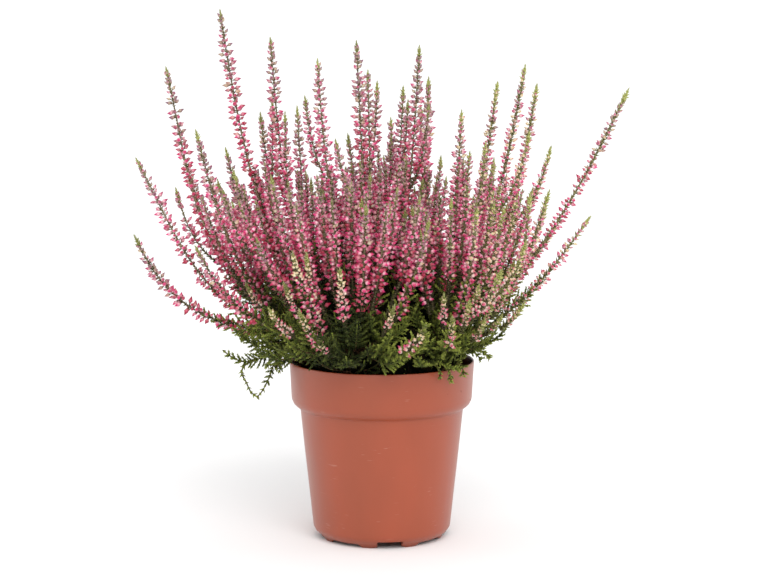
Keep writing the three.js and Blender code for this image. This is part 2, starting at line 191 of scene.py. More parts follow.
class GrowthSheet(NodeSheet):
    """A Geometry Nodes tree that grows organs along stems or crumbs on a bed."""

    def __init__(self, name: str) -> None:
        """Starts a tree with a geometry input and output.

        Args:
            name: The tree's name.
        """
        super().__init__(bpy.data.node_groups.new(name, "GeometryNodeTree"))
        sockets = self.tree.interface
        sockets.new_socket("Geometry", in_out="INPUT", socket_type="NodeSocketGeometry")
        sockets.new_socket("Geometry", in_out="OUTPUT", socket_type="NodeSocketGeometry")
        self.inputs = self.add("NodeGroupInput")

    def number(self, name: str, value: float) -> Socket:
        """Adds a named size to the tree's inputs.

        Args:
            name: The input's name.
            value: Its default.

        Returns:
            The input.
        """
        sockets = self.tree.interface
        item = sockets.new_socket(name, in_out="INPUT", socket_type="NodeSocketFloat")
        item.default_value = value
        return self.inputs.outputs[name]

    def template(self, name: str) -> Socket:
        """Adds a named object to the tree's inputs.

        Args:
            name: The input's name.

        Returns:
            The object as one instance.
        """
        self.tree.interface.new_socket(name, in_out="INPUT", socket_type="NodeSocketObject")
        source = {"Object": self.inputs.outputs[name], "As Instance": True}
        return self.add("GeometryNodeObjectInfo", source).outputs["Geometry"]

    def curve(self) -> Socket:
        """Returns the stems, whose lines are edges of the tree's base, as curves."""
        source = {"Mesh": self.inputs.outputs["Geometry"]}
        return self.add("GeometryNodeMeshToCurve", source).outputs[0]

    def value(self, name: str) -> Socket:
        """Returns a number that the geometry's points bear under a name."""
        source = {"Name": name}
        return self.add("GeometryNodeInputNamedAttribute", source, data_type="FLOAT").outputs[0]

    def random(self, low: object, high: object, seed: int) -> Socket:
        """Returns an even random number between two others."""
        inputs = {2: low, 3: high, "Seed": seed}
        return self.add("FunctionNodeRandomValue", inputs, data_type="FLOAT").outputs[1]

    def store(self, geometry: Socket, name: str, value: Socket, domain: str) -> Socket:
        """Stores a number on a geometry.

        Args:
            geometry: The geometry.
            name: The number's name.
            value: The number.
            domain: What bears it, such as "POINT".

        Returns:
            The geometry that bears it.
        """
        inputs = {"Geometry": geometry, "Name": name, "Value": value}
        kind = "GeometryNodeStoreNamedAttribute"
        return self.add(kind, inputs, data_type="FLOAT", domain=domain).outputs[0]

    def turn(self, rotation: Socket, axis: Point, angle: Socket) -> Socket:
        """Turns a rotation about one of its own axes.

        Args:
            rotation: The rotation.
            axis: The axis.
            angle: The angle, in radians.

        Returns:
            The turned rotation.
        """
        by = self.add("FunctionNodeAxisAngleToRotation", {"Axis": axis, "Angle": angle})
        inputs = {"Rotation": rotation, "Rotate By": by.outputs[0]}
        node = self.add("FunctionNodeRotateRotation", inputs, rotation_space="LOCAL")
        return node.outputs[0]

    def whorls(self, curve: Socket, organ: "Organ", template: Socket, pitch: Socket) -> Socket:
        """Sets organs in whorls along stems.

        Args:
            curve: The stems, which bear the organ's size and tilt at each point.
            organ: What is set, and how its whorls turn.
            template: The organ's mesh.
            pitch: The length between two whorls.

        Returns:
            The organs as one mesh with their material.
        """
        nodes = self.add("GeometryNodeCurveToPoints", {0: curve, "Length": pitch}, mode="LENGTH")
        index = self.add("GeometryNodeInputIndex").outputs[0]
        spun = self.math("MULTIPLY", index, organ.turn)
        points = self.store(nodes.outputs["Points"], "spin", spun, "POINT")
        size = self.value(organ.size)
        points = self.without(points, self.math("LESS_THAN", size, organ.least))
        inputs = {"Geometry": points, "Amount": organ.count}
        copies = self.add("GeometryNodeDuplicateElements", inputs, domain="POINT")
        gone = self.math("LESS_THAN", self.random(0.0, 1.0, organ.seed), organ.missing)
        slide = self.random(-organ.slide * MM, organ.slide * MM, organ.seed + 6)
        inputs = {0: nodes.outputs["Tangent"], "Scale": slide}
        along = self.add("ShaderNodeVectorMath", inputs, operation="SCALE").outputs[0]
        inputs = {"Geometry": self.without(copies.outputs[0], gone), "Offset": along}
        points = self.add("GeometryNodeSetPosition", inputs).outputs[0]
        share = self.math("MULTIPLY", copies.outputs[1], math.tau / organ.count)
        stray = self.random(-organ.stray, organ.stray, organ.seed + 1)
        angle = self.math("ADD", self.math("ADD", self.value("spin"), share), stray)
        rotation = self.turn(nodes.outputs["Rotation"], (0, 0, 1), angle)
        loose = self.random(1 - organ.loose, 1 + organ.loose, organ.seed + 2)
        tilt = self.math("MULTIPLY", self.value(organ.tilt), loose)
        rotation = self.turn(rotation, (0, 1, 0), tilt)
        rotation = self.turn(rotation, (0, 0, 1), self.random(-0.4, 0.4, organ.seed + 3))
        grown = self.random(1 - organ.uneven, 1 + organ.uneven, organ.seed + 4)
        inputs = {
            "Points": points,
            "Instance": template,
            "Rotation": rotation,
            "Scale": self.math("MULTIPLY", size, grown),
        }
        organs = self.add("GeometryNodeInstanceOnPoints", inputs).outputs[0]
        tone = self.random(0.0, 1.0, organ.seed + 5)
        return self.finished(self.store(organs, "tone", tone, "INSTANCE"), organ.material)

    def without(self, points: Socket, gone: Socket) -> Socket:
        """Takes away the points for which a number is above a half."""
        inputs = {"Geometry": points, "Selection": gone}
        return self.add("GeometryNodeDeleteGeometry", inputs, domain="POINT").outputs[0]

    def tubes(self, curve: Socket, sides: int, material: bpy.types.Material) -> Socket:
        """Gives stems their thickness, which their points bear, and their bark.

        Args:
            curve: The stems.
            sides: How many sides a stem has.
            material: Their bark.

        Returns:
            The stems as a mesh.
        """
        ring = self.add("GeometryNodeCurvePrimitiveCircle", {"Resolution": sides, "Radius": 1.0})
        inputs = {"Curve": curve, "Profile Curve": ring.outputs[0], "Fill Caps": True}
        inputs["Scale"] = self.value("thickness")
        skin = self.add("GeometryNodeCurveToMesh", inputs).outputs[0]
        smooth = self.add("GeometryNodeSetShadeSmooth", {"Geometry": skin}).outputs[0]
        return self.finished(smooth, material)

    def finished(self, geometry: Socket, material: bpy.types.Material) -> Socket:
        """Makes instances real and sets their material.

        Args:
            geometry: The geometry.
            material: Its material.

        Returns:
            The finished geometry.
        """
        real = self.add("GeometryNodeRealizeInstances", {"Geometry": geometry}).outputs[0]
        inputs = {"Geometry": real, "Material": material}
        return self.add("GeometryNodeSetMaterial", inputs).outputs[0]

    def close(self, *parts: Socket) -> bpy.types.NodeTree:
        """Joins parts as the tree's output.

        Args:
            parts: The parts.

        Returns:
            The whole tree.
        """
        joined = self.add("GeometryNodeJoinGeometry")
        for part in parts:
            self.tree.links.new(part, joined.inputs[0])
        self.add("NodeGroupOutput", {"Geometry": joined.outputs[0]})
        return self.tree


@dataclass(frozen=True)
class Organ:
    """A bud or leaf that stands in whorls along stems.

    The stems' points bear its size and its tilt from the stem under the names given here. Each
    whorl has "count" of them and is turned from the last by "turn". A share of them is missing,
    and the rest stray in angle, tilt, size and place. None grows where the size is below "least".
    """

    size: str
    tilt: str
    count: int
    turn: float
    material: bpy.types.Material
    seed: int
    missing: float = 0.0
    stray: float = 0.2
    loose: float = 0.15
    uneven: float = 0.15
    slide: float = 0.0
    least: float = 0.05


def grown(base: bpy.types.Object, tree: bpy.types.NodeTree, inputs: dict) -> bpy.types.Mesh:
    """Grows a tree on an object and takes the result as a plain mesh.

    Args:
        base: The object that the tree starts from, which is removed.
        tree: The Geometry Nodes tree.
        inputs: Values for the tree's inputs, by their names.

    Returns:
        The plain mesh.
    """
    modifier = base.modifiers.new("growth", "NODES")
    modifier.node_group = tree
    for item in tree.interface.items_tree:
        if item.in_out == "INPUT" and item.name in inputs:
            modifier[item.identifier] = inputs[item.name]
    depsgraph = bpy.context.evaluated_depsgraph_get()
    mesh = bpy.data.meshes.new_from_object(
        base.evaluated_get(depsgraph), preserve_all_data_layers=True, depsgraph=depsgraph
    )
    bpy.data.objects.remove(base)
    return mesh


def linked(name: str, data: bpy.types.ID) -> bpy.types.Object:
    """Puts a mesh, a light or a camera in the scene.

    Args:
        name: The object's name.
        data: What the object holds.

    Returns:
        The object, at the origin.
    """
    made = bpy.data.objects.new(name, data)
    bpy.context.scene.collection.objects.link(made)
    return made


def faced(
    name: str, points: list[Point], faces: list[Face], finish: bpy.types.Material | None = None
) -> bpy.types.Mesh:
    """Makes a mesh.

    Args:
        name: The mesh's name.
        points: Its points, in millimetres.
        faces: The numbers of each face's points.
        finish: Its material, or None for none.

    Returns:
        The mesh, in metres.
    """
    mesh = bpy.data.meshes.new(name)
    mesh.from_pydata([(x * MM, y * MM, z * MM) for x, y, z in points], [], faces)
    if finish:
        mesh.materials.append(finish)
    return mesh


def turned(across: float, turn: float, z: float) -> Point:
    """Returns the point at a distance and an angle, in radians, from the upright axis."""
    return (across * math.cos(turn), across * math.sin(turn), z)


def ring(across: float, z: float, count: int) -> list[Point]:
    """Returns an even ring of points round the upright axis."""
    return [turned(across, math.tau * k / count, z) for k in range(count)]


def bands(first: int, rings: int, count: int, downward: bool = False) -> list[Face]:
    """Joins rings of points, one above the other, by four-sided faces.

    Args:
        first: The number of the first ring's first point.
        rings: How many rings there are.
        count: How many points a ring has.
        downward: Whether the rings follow each other outwards and down.

    Returns:
        The faces, which point outwards or up.
    """
    faces: list[Face] = []
    for ring in range(rings - 1):
        for k in range(count):
            a, b = first + ring * count + k, first + ring * count + (k + 1) % count
            upward = (a, b, b + count, a + count)
            faces.append((a, a + count, b + count, b) if downward else upward)
    return faces


def with_area(
    points: list[Point], faces: list[Face], apart: float = 1e-6
) -> tuple[list[Point], list[Face]]:
    """Leaves out the faces that have no area and the points that no other face uses.

    Args:
        points: The points, in millimetres.
        faces: The numbers of each face's points.
        apart: How far neighbouring corners of a face lie apart at least, in millimetres.

    Returns:
        The points and the faces that are left, numbered anew.
    """
    corners = [
        [
            k for k, before in zip(face, (face[-1], *face))
            if math.dist(points[k], points[before]) > apart
        ]
        for face in faces
    ]
    corners = [face for face in corners if len(face) > 2]
    used = sorted({k for face in corners for k in face})
    number = {k: new for new, k in enumerate(used)}
    return [points[k] for k in used], [tuple(number[k] for k in face) for face in corners]


def put(name: str, mesh: bpy.types.Mesh) -> bpy.types.Object:
    """Puts a finished mesh in the scene as a piece that rides on the part's one body.

    Args:
        name: The piece's name.
        mesh: Its mesh, in its place.

    Returns:
        The piece.
    """
    mesh.name = name
    piece = linked(name, mesh)
    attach(piece, "root")
    mesh.calc_loop_triangles()
    LOG.info("%s: %d triangles", name, len(mesh.loop_triangles))
    return piece


# ---------------------------------------------------------------- finishes


@dataclass(frozen=True)
class Finish:
    """A material of the plant or its pot."""

    name: str

    def material(self) -> bpy.types.Material:
        """Builds the material.

        Returns:
            The material.
        """
        made = bpy.data.materials.new(self.name)
        made.use_nodes = True
        sheet = ShaderSheet(made.node_tree)
        sheet.feed(made.node_tree.nodes["Principled BSDF"], self.dress(sheet))
        return made

    def dress(self, sheet: ShaderSheet) -> dict[str, object]:
        """Adds the finish's nodes and returns what the shader's inputs take."""
        raise NotImplementedError


@dataclass(frozen=True)
class PotPlastic(Finish):
    """Satin terracotta-coloured polypropylene with a fine grain and faint scuffs."""

    body: Colour = colour("903f20")
    bright: Colour = colour("9a4222")
    chalky: Colour = colour("b07a68")
    roughness: tuple[float, float] = (0.34, 0.46)

    def dress(self, sheet: ShaderSheet) -> dict[str, object]:
        """Mixes cloudy tones, pale scuffs and flow marks into one plastic.

        Args:
            sheet: The material's nodes.

        Returns:
            What the shader's inputs take.
        """
        cloud = sheet.noise(22.0, 3.0, (1, 1, 0.4))
        base = sheet.fade(cloud, 0.35, 0.65, self.body, self.bright)
        streak = sheet.ranged(sheet.noise(1300.0, 1.0, (0.09, 0.09, 1)), (0.69, 0.75))
        patch = sheet.ranged(sheet.noise(46.0, 1.0, (1, 1, 1.4)), (0.56, 0.66), (0, 0.7))
        scuff = sheet.math("MULTIPLY", streak, patch)
        rough = sheet.ranged(cloud, (0.3, 0.7), self.roughness)
        grain = sheet.math("MULTIPLY", sheet.noise(2600.0), 0.05)
        ripple = sheet.noise(45.0, 1.0, (1, 1, 0.5))
        return {
            "Base Color": sheet.mix(scuff, base, self.chalky),
            "Roughness": sheet.math("ADD", rough, sheet.math("MULTIPLY", scuff, 0.2)),
            "Normal": sheet.bump(sheet.math("ADD", grain, ripple), 0.0006),
            "Specular IOR Level": 0.5,
            "Coat Weight": 0.3,
            "Coat Roughness": 0.35,
        }


@dataclass(frozen=True)
class Peat(Finish):
    """Damp fibrous compost, lighter where it has dried."""

    damp: Colour = colour("1d120c")
    dry: Colour = colour("4a3423")

    def dress(self, sheet: ShaderSheet) -> dict[str, object]:
        """Mixes damp and dry crumbs and roughens them.

        Args:
            sheet: The material's nodes.

        Returns:
            What the shader's inputs take.
        """
        crumb = sheet.noise(420.0, 4.0)
        patch = sheet.ranged(sheet.noise(60.0), (0.3, 0.7), (0.2, 1.2))
        share = sheet.math("MULTIPLY", crumb, patch)
        return {
            "Base Color": sheet.fade(share, 0.2, 0.6, self.damp, self.dry),
            "Normal": sheet.bump(crumb, 0.0015),
            "Roughness": 0.95,
            "Specular IOR Level": 0.2,
        }


@dataclass(frozen=True)
class Bark(Finish):
    """Stem skin, from flaking brown wood at the foot to green near the point."""

    dark: Colour = colour("4c3424")
    flaked: Colour = colour("7d5c40")
    green: Colour = colour("4d5f28")

    def dress(self, sheet: ShaderSheet) -> dict[str, object]:
        """Mixes flaking wood with the green of young growth by how woody the stem is.

        Args:
            sheet: The material's nodes.

        Returns:
            What the shader's inputs take.
        """
        flake = sheet.noise(700.0, 3.0, (1, 1, 0.3))
        wood = sheet.fade(flake, 0.45, 0.65, self.dark, self.flaked)
        return {
            "Base Color": sheet.mix(sheet.attribute("wood"), self.green, wood),
            "Normal": sheet.bump(flake, 0.0004),
            "Roughness": 0.75,
            "Specular IOR Level": 0.25,
        }


@dataclass(frozen=True)
class ScaleLeaf(Finish):
    """Small fleshy evergreen leaves, lighter and yellower where they are young."""

    old: Colour = colour("1c220c")
    full: Colour = colour("5e6c27")
    fresh: Colour = colour("959f44")

    def dress(self, sheet: ShaderSheet) -> dict[str, object]:
        """Mixes old, full and fresh greens by youth and by leaf.

        Args:
            sheet: The material's nodes.

        Returns:
            What the shader's inputs take.
        """
        tone = sheet.math("MULTIPLY", sheet.attribute("tone"), 0.4)
        shade = sheet.math("ADD", tone, sheet.attribute("tint"))
        base = sheet.fade(shade, 0.2, 1.2, self.old, self.full)
        share = sheet.math("ADD", sheet.math("MULTIPLY", shade, 0.3), sheet.attribute("youth"))
        along = sheet.math("MULTIPLY", sheet.attribute("along"), 0.25)
        share = sheet.math("ADD", share, along)
        return {
            "Base Color": sheet.fade(share, 0.35, 1.45, base, self.fresh),
            "Normal": sheet.bump(sheet.noise(1500.0), 0.0002),
            "Roughness": 0.5,
            "Specular IOR Level": 0.25,
        }


@dataclass(frozen=True)
class BudPetal(Finish):
    """Closed buds, pale with magenta points where ripe, and dusty or cream where young; the paler
    body is partly a painted highlight.
    """

    stalk: Colour = colour("66502f")
    # Each pair is a bud's body and point; the paler body is partly a painted highlight where the
    # bud is widest.
    deep: tuple[Colour, Colour] = (colour("c2546a"), colour("a21c3a"))
    full: tuple[Colour, Colour] = (colour("fac6d2"), colour("dc3c7c"))
    olive: tuple[Colour, Colour] = (colour("ab9684"), colour("84586a"))
    dusty: tuple[Colour, Colour] = (colour("dfb0b4"), colour("a84a6c"))
    cream: tuple[Colour, Colour] = (colour("e8debc"), colour("d2b68c"))
    blush: tuple[Colour, Colour] = (colour("eed2c6"), colour("c6546e"))

    def run(self, sheet: ShaderSheet, along: Socket, body: Colour, point: Colour) -> Socket:
        """Runs from a bud's dark stalk through its body, paler partly as a painted highlight, to
        its point.
        """
        low = sheet.fade(along, 0.1, 0.32, self.stalk, body)
        return sheet.fade(along, 0.42, 0.66, low, point)

    def dress(self, sheet: ShaderSheet) -> dict[str, object]:
        """Mixes deep, full, olive, dusty and cream buds by what each one bears.

        Args:
            sheet: The material's nodes.

        Returns:
            What the shader's inputs take.
        """
        along = sheet.attribute("along")
        tone = sheet.attribute("tone")
        tint = sheet.ranged(sheet.attribute("tint"), (0, 1), (-0.25, 0.25))
        shade = sheet.math("ADD", tone, tint)
        stray = sheet.ranged(tone, (0, 1), (-0.2, 0.2))
        ripe = sheet.math("ADD", sheet.attribute("ripe"), stray)
        kinds = (self.deep, self.full, self.olive, self.dusty, self.cream, self.blush)
        runs = [self.run(sheet, along, *kind) for kind in kinds]
        deep, full, olive, dusty, cream, blush = runs
        bright = sheet.fade(shade, 0.15, 0.85, deep, full)
        aging = sheet.math("ADD", sheet.math("MULTIPLY", shade, 0.6), ripe)
        young = sheet.fade(sheet.math("ADD", aging, ripe), 0.2, 0.8, olive, dusty)
        base = sheet.fade(ripe, 0.1, 0.6, young, bright)
        pale = sheet.fade(ripe, 0.2, 0.6, cream, blush)
        is_pale = sheet.math("SUBTRACT", sheet.attribute("pale"), tone)
        return {
            "Base Color": sheet.fade(is_pale, -0.1, 0.1, base, pale),
            "Roughness": 0.45,
            "Specular IOR Level": 0.35,
        }


@dataclass(frozen=True)
class ThatchAndShade(Finish):
    """The dead middle of the plant, a tangle of old twigs and shed leaves, near-black with painted
    shade.
    """

    # The near-black is painted shade within the plant, the brown its old twigs.
    dark: Colour = colour("0f120a")
    twig: Colour = colour("2e2216")

    def dress(self, sheet: ShaderSheet) -> dict[str, object]:
        """Streaks the near-black of painted shade with brown, and roughens it.

        Args:
            sheet: The material's nodes.

        Returns:
            What the shader's inputs take.
        """
        streak = sheet.noise(520.0, 3.0, (1, 1, 0.25))
        return {
            "Base Color": sheet.fade(streak, 0.5, 0.7, self.dark, self.twig),
            "Normal": sheet.bump(streak, 0.003),
            "Roughness": 0.95,
            "Specular IOR Level": 0.05,
        }


@dataclass(frozen=True)
class StudioPaper(Finish):
    """The pale matt floor."""

    tone: Colour = (0.86, 0.86, 0.86, 1.0)

    def dress(self, sheet: ShaderSheet) -> dict[str, object]:
        """Sets a matt near-white."""
        return {"Base Color": self.tone, "Roughness": 0.9, "Specular IOR Level": 0.1}


# ---------------------------------------------------------------- stems as lines


@dataclass(frozen=True)
class Line:
    """A stem's middle line, as points close together."""

    points: np.ndarray
    spacing: float = 1.0

    @classmethod
    def even(cls, points: np.ndarray, spacing: float = 1.0) -> "Line":
        """Spreads a line's points evenly along it.

        Args:
            points: The line as it is.
            spacing: The wished distance between points.

        Returns:
            The line with even points.
        """
        gaps = np.linalg.norm(np.diff(points, axis=0), axis=1)
        run = np.concatenate([[0.0], np.cumsum(gaps)])
        count = max(2, int(round(run[-1] / spacing)) + 1)
        places = np.linspace(0.0, run[-1], count)
        spread = [np.interp(places, run, points[:, axis]) for axis in range(3)]
        return cls(np.stack(spread, axis=1), run[-1] / (count - 1))

    @classmethod
    def bowed(
        cls,
        foot: np.ndarray,
        tip: np.ndarray,
        tip_lean: float | None = None,
        foot_pull: float = 0.3,
    ) -> "Line":
        """Bows a stem in one upright plane, by the part's own rule.

        Args:
            foot: Where the stem starts.
            tip: Where it ends.
            tip_lean: How many degrees its tip leans, or None for the usual share.
            foot_pull: How far the foot's direction is kept, as a share of the chord.

        Returns:
            The stem's line.
        """
        rise = tip - foot
        across = math.hypot(rise[0], rise[1])
        out = np.array([rise[0], rise[1], 0.0]) / max(across, 1e-9)
        chord = float(np.linalg.norm(rise))
        lean = math.atan2(across, rise[2])
        end = BOW_TIP_LEAN * lean if tip_lean is None else math.radians(tip_lean)
        start = min(math.radians(BOW_MOST_LEAN), lean + BOW_FOOT_LEAN * (lean - end))
        first = foot + (UP * math.cos(start) + out * math.sin(start)) * foot_pull * chord
        last = tip - (UP * math.cos(end) + out * math.sin(end)) * BOW_TIP_PULL * chord
        t = np.linspace(0.0, 1.0, 300)[:, None]
        u = 1 - t
        curve = u**3 * foot + 3 * u * u * t * first + 3 * u * t * t * last + t**3 * tip
        return cls.even(curve)

    @classmethod
    def through(cls, places: list[Point]) -> "Line":
        """Runs a smooth line through given points.

        Args:
            places: The points.

        Returns:
            The line.
        """
        spots = [np.array(p, float) for p in places]
        spots = [2 * spots[0] - spots[1], *spots, 2 * spots[-1] - spots[-2]]
        t = np.linspace(0.0, 1.0, 20, endpoint=False)[:, None]
        parts = []
        for a, b, c, d in zip(spots, spots[1:], spots[2:], spots[3:]):
            bend = (2 * a - 5 * b + 4 * c - d) * t**2 + (3 * b - a - 3 * c + d) * t**3
            parts.append(b + 0.5 * ((c - a) * t + bend))
        return cls.even(np.concatenate([*parts, spots[-2][None]]))

    @property
    def length(self) -> float:
        """The line's length."""
        return self.spacing * (len(self.points) - 1)

    def at(self, distance: float) -> np.ndarray:
        """Finds a place along the line.

        Args:
            distance: How far it is from the line's start.

        Returns:
            The place.
        """
        place = float(np.clip(distance / self.spacing, 0, len(self.points) - 1))
        index = min(int(place), len(self.points) - 2)
        share = place - index
        return self.points[index] * (1 - share) + self.points[index + 1] * share

    def heading(self, distance: float) -> np.ndarray:
        """The line's direction at a distance along it."""
        step = self.at(distance + 1.0) - self.at(distance - 1.0)
        return step / max(float(np.linalg.norm(step)), 1e-9)

    def cut(self, start: float, end: float, spacing: float = 3.0) -> "Line":
        """The stretch between two distances, with its points re-spaced."""
        places = np.linspace(start, end, max(2, int(round((end - start) / spacing)) + 1))
        return Line(np.array([self.at(p) for p in places]), places[1] - places[0])

    def distances(self) -> np.ndarray:
        """How far each point lies along the line."""
        return np.arange(len(self.points)) * self.spacing


class LineBundle:
    """Lines that bear named numbers at their points, for a tree to grow on."""

    def __init__(self) -> None:
        """Starts with no lines."""
        self.points: list[np.ndarray] = []
        self.edges: list[tuple[int, int]] = []
        self.values: dict[str, list[np.ndarray]] = {}
        self.count = 0

    def add(self, line: Line, **values: object) -> None:
        """Adds a line.

        Args:
            line: The line.
            values: The numbers that its points bear, by name, one for each or one for all.
        """
        size = len(line.points)
        self.points.append(line.points * MM)
        self.edges += [(self.count + i, self.count + i + 1) for i in range(size - 1)]
        for name, value in values.items():
            spread = np.broadcast_to(np.asarray(value, float), size)
            self.values.setdefault(name, []).append(spread)
        self.count += size

    def to_object(self, name: str) -> bpy.types.Object:
        """Makes the lines a mesh of edges.

        Args:
            name: The object's name.

        Returns:
            The object, in metres, whose mesh bears the lines' numbers.
        """
        mesh = bpy.data.meshes.new(name)
        mesh.from_pydata(np.concatenate(self.points).tolist(), self.edges, [])
        for key, parts in self.values.items():
            numbers = np.concatenate(parts).astype(np.float32)
            mesh.attributes.new(key, "FLOAT", "POINT").data.foreach_set("value", numbers)
        return linked(name, mesh)


# ---------------------------------------------------------------- the plant's plan

# How a stem bows, as in the part: its tip's and its foot's lean as shares of its own, the most that
# its foot leans, in degrees, and how far the two directions are kept, as shares of its chord. The
# foot's runs from the first share to the second between two places of the tip, far to the left.
BOW_TIP_LEAN = 0.45
BOW_FOOT_LEAN = 1.9
BOW_MOST_LEAN = 82.0
BOW_TIP_PULL = 0.42
LEFT_PULL = ((-130.0, -104.0), (0.48, 0.3))

# Where the trunk starts and where it parts into stems, how thick it is at each, and how far from
# the axis the middle clump's tips reach.
TRUNK_FOOT = 84.0
STEM_FOOT = 128.0
TRUNK_RADII = (3.0, 2.2)
MIDDLE_REACH = 46.0

# A fork's greatest length, and how far beyond the leaves it parts from its spike.
FORK_LONGEST = 62.0
FORK_OUT = 4.3


@dataclass(frozen=True)
class Dome:
    """The dome that the leaves fill, as in the part."""

    radius: float = 90.0
    height: float = 56.0
    foot: float = 116.0

    def share(self, point: np.ndarray) -> float:
        """Tells how far out a point lies.

        Args:
            point: The point.

        Returns:
            The share of the way to the dome's skin, which is 1 on it.
        """
        across = math.hypot(point[0], point[1]) / self.radius
        up = max(0.0, (point[2] - self.foot) / self.height)
        return math.hypot(across, up)

    def exit(self, line: Line) -> float:
        """Finds where a stem leaves the dome.

        Args:
            line: The stem.

        Returns:
            The distance along the stem.
        """
        at = 0.0
        while at < line.length and self.share(line.at(at)) < 1:
            at += 0.5
        return at


DOME = Dome()

# How large the dark middle is, as a share of the dome.
THATCH_SHARE = 0.56


@dataclass(frozen=True)
class Clump:
    """One of the plant's five rooted clumps, which stands at a distance and an angle from the axis.

    It has so many leafy shoots over the dome, and so many filler spikes.
    """

    name: str
    out: float
    angle: float
    shoots: int
    fillers: int
    seed: int

    @property
    def foot(self) -> np.ndarray:
        """Where the clump's stems part."""
        return np.array(turned(self.out, math.radians(self.angle), STEM_FOOT))

    def stem(self, tip: Point, lean: float | None = None) -> Line:
        """A flower stem's line from the foot, which spreads low where it is far left."""
        return Line.bowed(self.foot, np.array(tip, float), lean, np.interp(tip[0], *LEFT_PULL))

    def bears(self, tip: Point) -> bool:
        """Tells whether a stem grows from this clump.

        Args:
            tip: The stem's tip.

        Returns:
            Whether it does.
        """
        within = math.radians(45)
        over_middle = math.hypot(tip[0], tip[1]) < MIDDLE_REACH
        if self.out == 0 or over_middle:
            return self.out == 0 and over_middle
        apart = math.atan2(tip[1], tip[0]) - math.radians(self.angle)
        return math.cos(apart) > math.cos(within)


CLUMPS = [
    Clump("middle", 0, 0, 18, 20, 11),
    Clump("front_right", 42, -25, 34, 19, 23),
    Clump("back_right", 42, 65, 28, 20, 41),
    Clump("back_left", 42, 155, 28, 23, 37),
    Clump("front_left", 42, 245, 28, 19, 59),
]


@dataclass(frozen=True)
class Spike:
    """A flower spike, by its tip, its lean, its fork's tip and its age.

    Its budded part starts lower than usual by "lower". Where that is above 0, it bears buds from
    its very foot.
    """

    tip: Point
    lean: float | None = None
    side: Point | None = None
    pale: bool = False
    lower: float = 0.0


SPIKES = [
    Spike((-104, 15, 341), 8),
    Spike((-72, 20, 323), 4, (-62, 2, 276)),
    Spike((-41, 4, 310), 3, (-50, 24, 285)),
    Spike((-138, 2, 305), 12),
    Spike((-116, -42, 268)),
    Spike((-159, 12, 246), 27),
    Spike((-156, -34, 201), 24, lower=24),
    Spike((-130, 36, 244), 19, (-134, 18, 226)),
    Spike((-103, 44, 250), None, (-110, 66, 227)),
    Spike((-93, -42, 243), None, (-98, -66, 233)),
    Spike((-81, 64, 272), None, (-72, 46, 281)),
    Spike((-57, 80, 275), None, (-72, 98, 234)),
    Spike((-68, -70, 242), None, (-76, -92, 206)),
    Spike((-115, -68, 198), 26),
    Spike((-54, -96, 198), None, (-46, -84, 196), True),
    Spike((-16, -12, 322), 3, (-29, -30, 261)),
    Spike((-9, 24, 302), 3, (-3, 42, 294)),
    Spike((6, 86, 267)),
    Spike((-23, 86, 256)),
    Spike((14, 34, 291), None, (17, 16, 283)),
    Spike((24, -6, 319), 3, (30, -26, 283)),
    Spike((31, 54, 296), None, (26, 76, 276)),
    Spike((40, 88, 241), None, (44, 106, 225)),
    Spike((51, -8, 278), 4, (57, 12, 250)),
    Spike((75, 18, 295), 11, (74, 44, 243)),
    Spike((65, -42, 260), None, (70, -58, 224)),
    Spike((76, 84, 236), None, (86, 98, 208)),
    Spike((91, -14, 307), 10, (93, -34, 267)),
    Spike((101, 28, 293), 11, (109, 6, 254)),
    Spike((105, -42, 230), None, (92, -60, 230)),
    Spike((159, 10, 291), 26),
    Spike((133, -16, 211), 34),
    Spike((75, -82, 223), None, (88, -92, 204)),
    Spike((58, -96, 224), None, (72, -104, 188)),
    Spike((-7, -54, 241), None, (-20, -64, 234), lower=-8),
    Spike((-12, -82, 229), lower=-10),
    Spike((-9, -112, 228), lower=-13),
    Spike((5, -86, 227)),
    Spike((43, -70, 228)),
    Spike((29, -98, 218)),
    Spike((-25, -112, 190), pale=True, lower=-14),
    Spike((-50, -103, 164), pale=True),
    Spike((43, -106, 160), pale=True),
    Spike((27, -108, 155), pale=True),
    Spike((-38, -94, 145), pale=True),
    Spike((-102, 92, 210)),
    Spike((-46, 112, 214)),
    Spike((-12, 113, 226), None, (-26, 111, 196)),
    Spike((14, 112, 204)),
    Spike((62, 113, 204)),
    Spike((106, 74, 224), None, (118, 82, 196)),
    Spike((108, 34, 212)),
    Spike((-106, 78, 212), None, (-115, 62, 194)),
]

# How high the mass of pink stands at each distance to the right of the pot's axis.
SKYLINE = [
    (-140, 212), (-102, 238), (-81, 250), (-53, 256), (-30, 240), (-11, 260), (15, 262),
    (38, 230), (52, 248), (77, 252), (96, 243), (109, 227), (130, 200),
]

# The tips of short young spikes that bud among the leaves near the rim.
YOUNG: list[Point] = [
    (75, -60, 183), (84, -38, 186), (60, -80, 176), (70, -60, 164), (54, -85, 167),
    (84, -20, 168), (64, -72, 154), (38, -92, 172), (-60, -84, 178), (-70, -70, 160),
    (88, -8, 180), (80, -50, 173), (66, -66, 186), (91, -30, 158), (76, -44, 152), (56, -60, 194),
    (8, -98, 166), (-86, -30, 170), (80, 40, 172), (40, 88, 170), (-30, 94, 168),
    (-74, 62, 170), (70, 66, 158), (-92, 24, 164),
]

# Extra spikes that fill gaps at the front, by their clump and their tip.
NEAR: list[tuple[str, Point]] = [
    ("front_right", (24, -70, 208)), ("front_right", (19, -60, 222)),
    ("front_right", (24, -30, 226)), ("front_right", (6, -48, 228)),
    ("middle", (26, -30, 236)), ("middle", (15, -38, 218)), ("middle", (-38, 6, 226)),
    ("back_left", (-36, 34, 226)), ("back_left", (-46, 20, 232)),
    ("back_left", (-24, 60, 236)), ("middle", (-20, 38, 240)),
    ("back_right", (30, 50, 232)), ("back_right", (56, 52, 236)),
]


@dataclass(frozen=True)
class Trailer:
    """A shoot over the rim, the share of it that bears twigs and how long they are."""

    places: list[Point]
    twiggy: float
    longest: float = 6.0


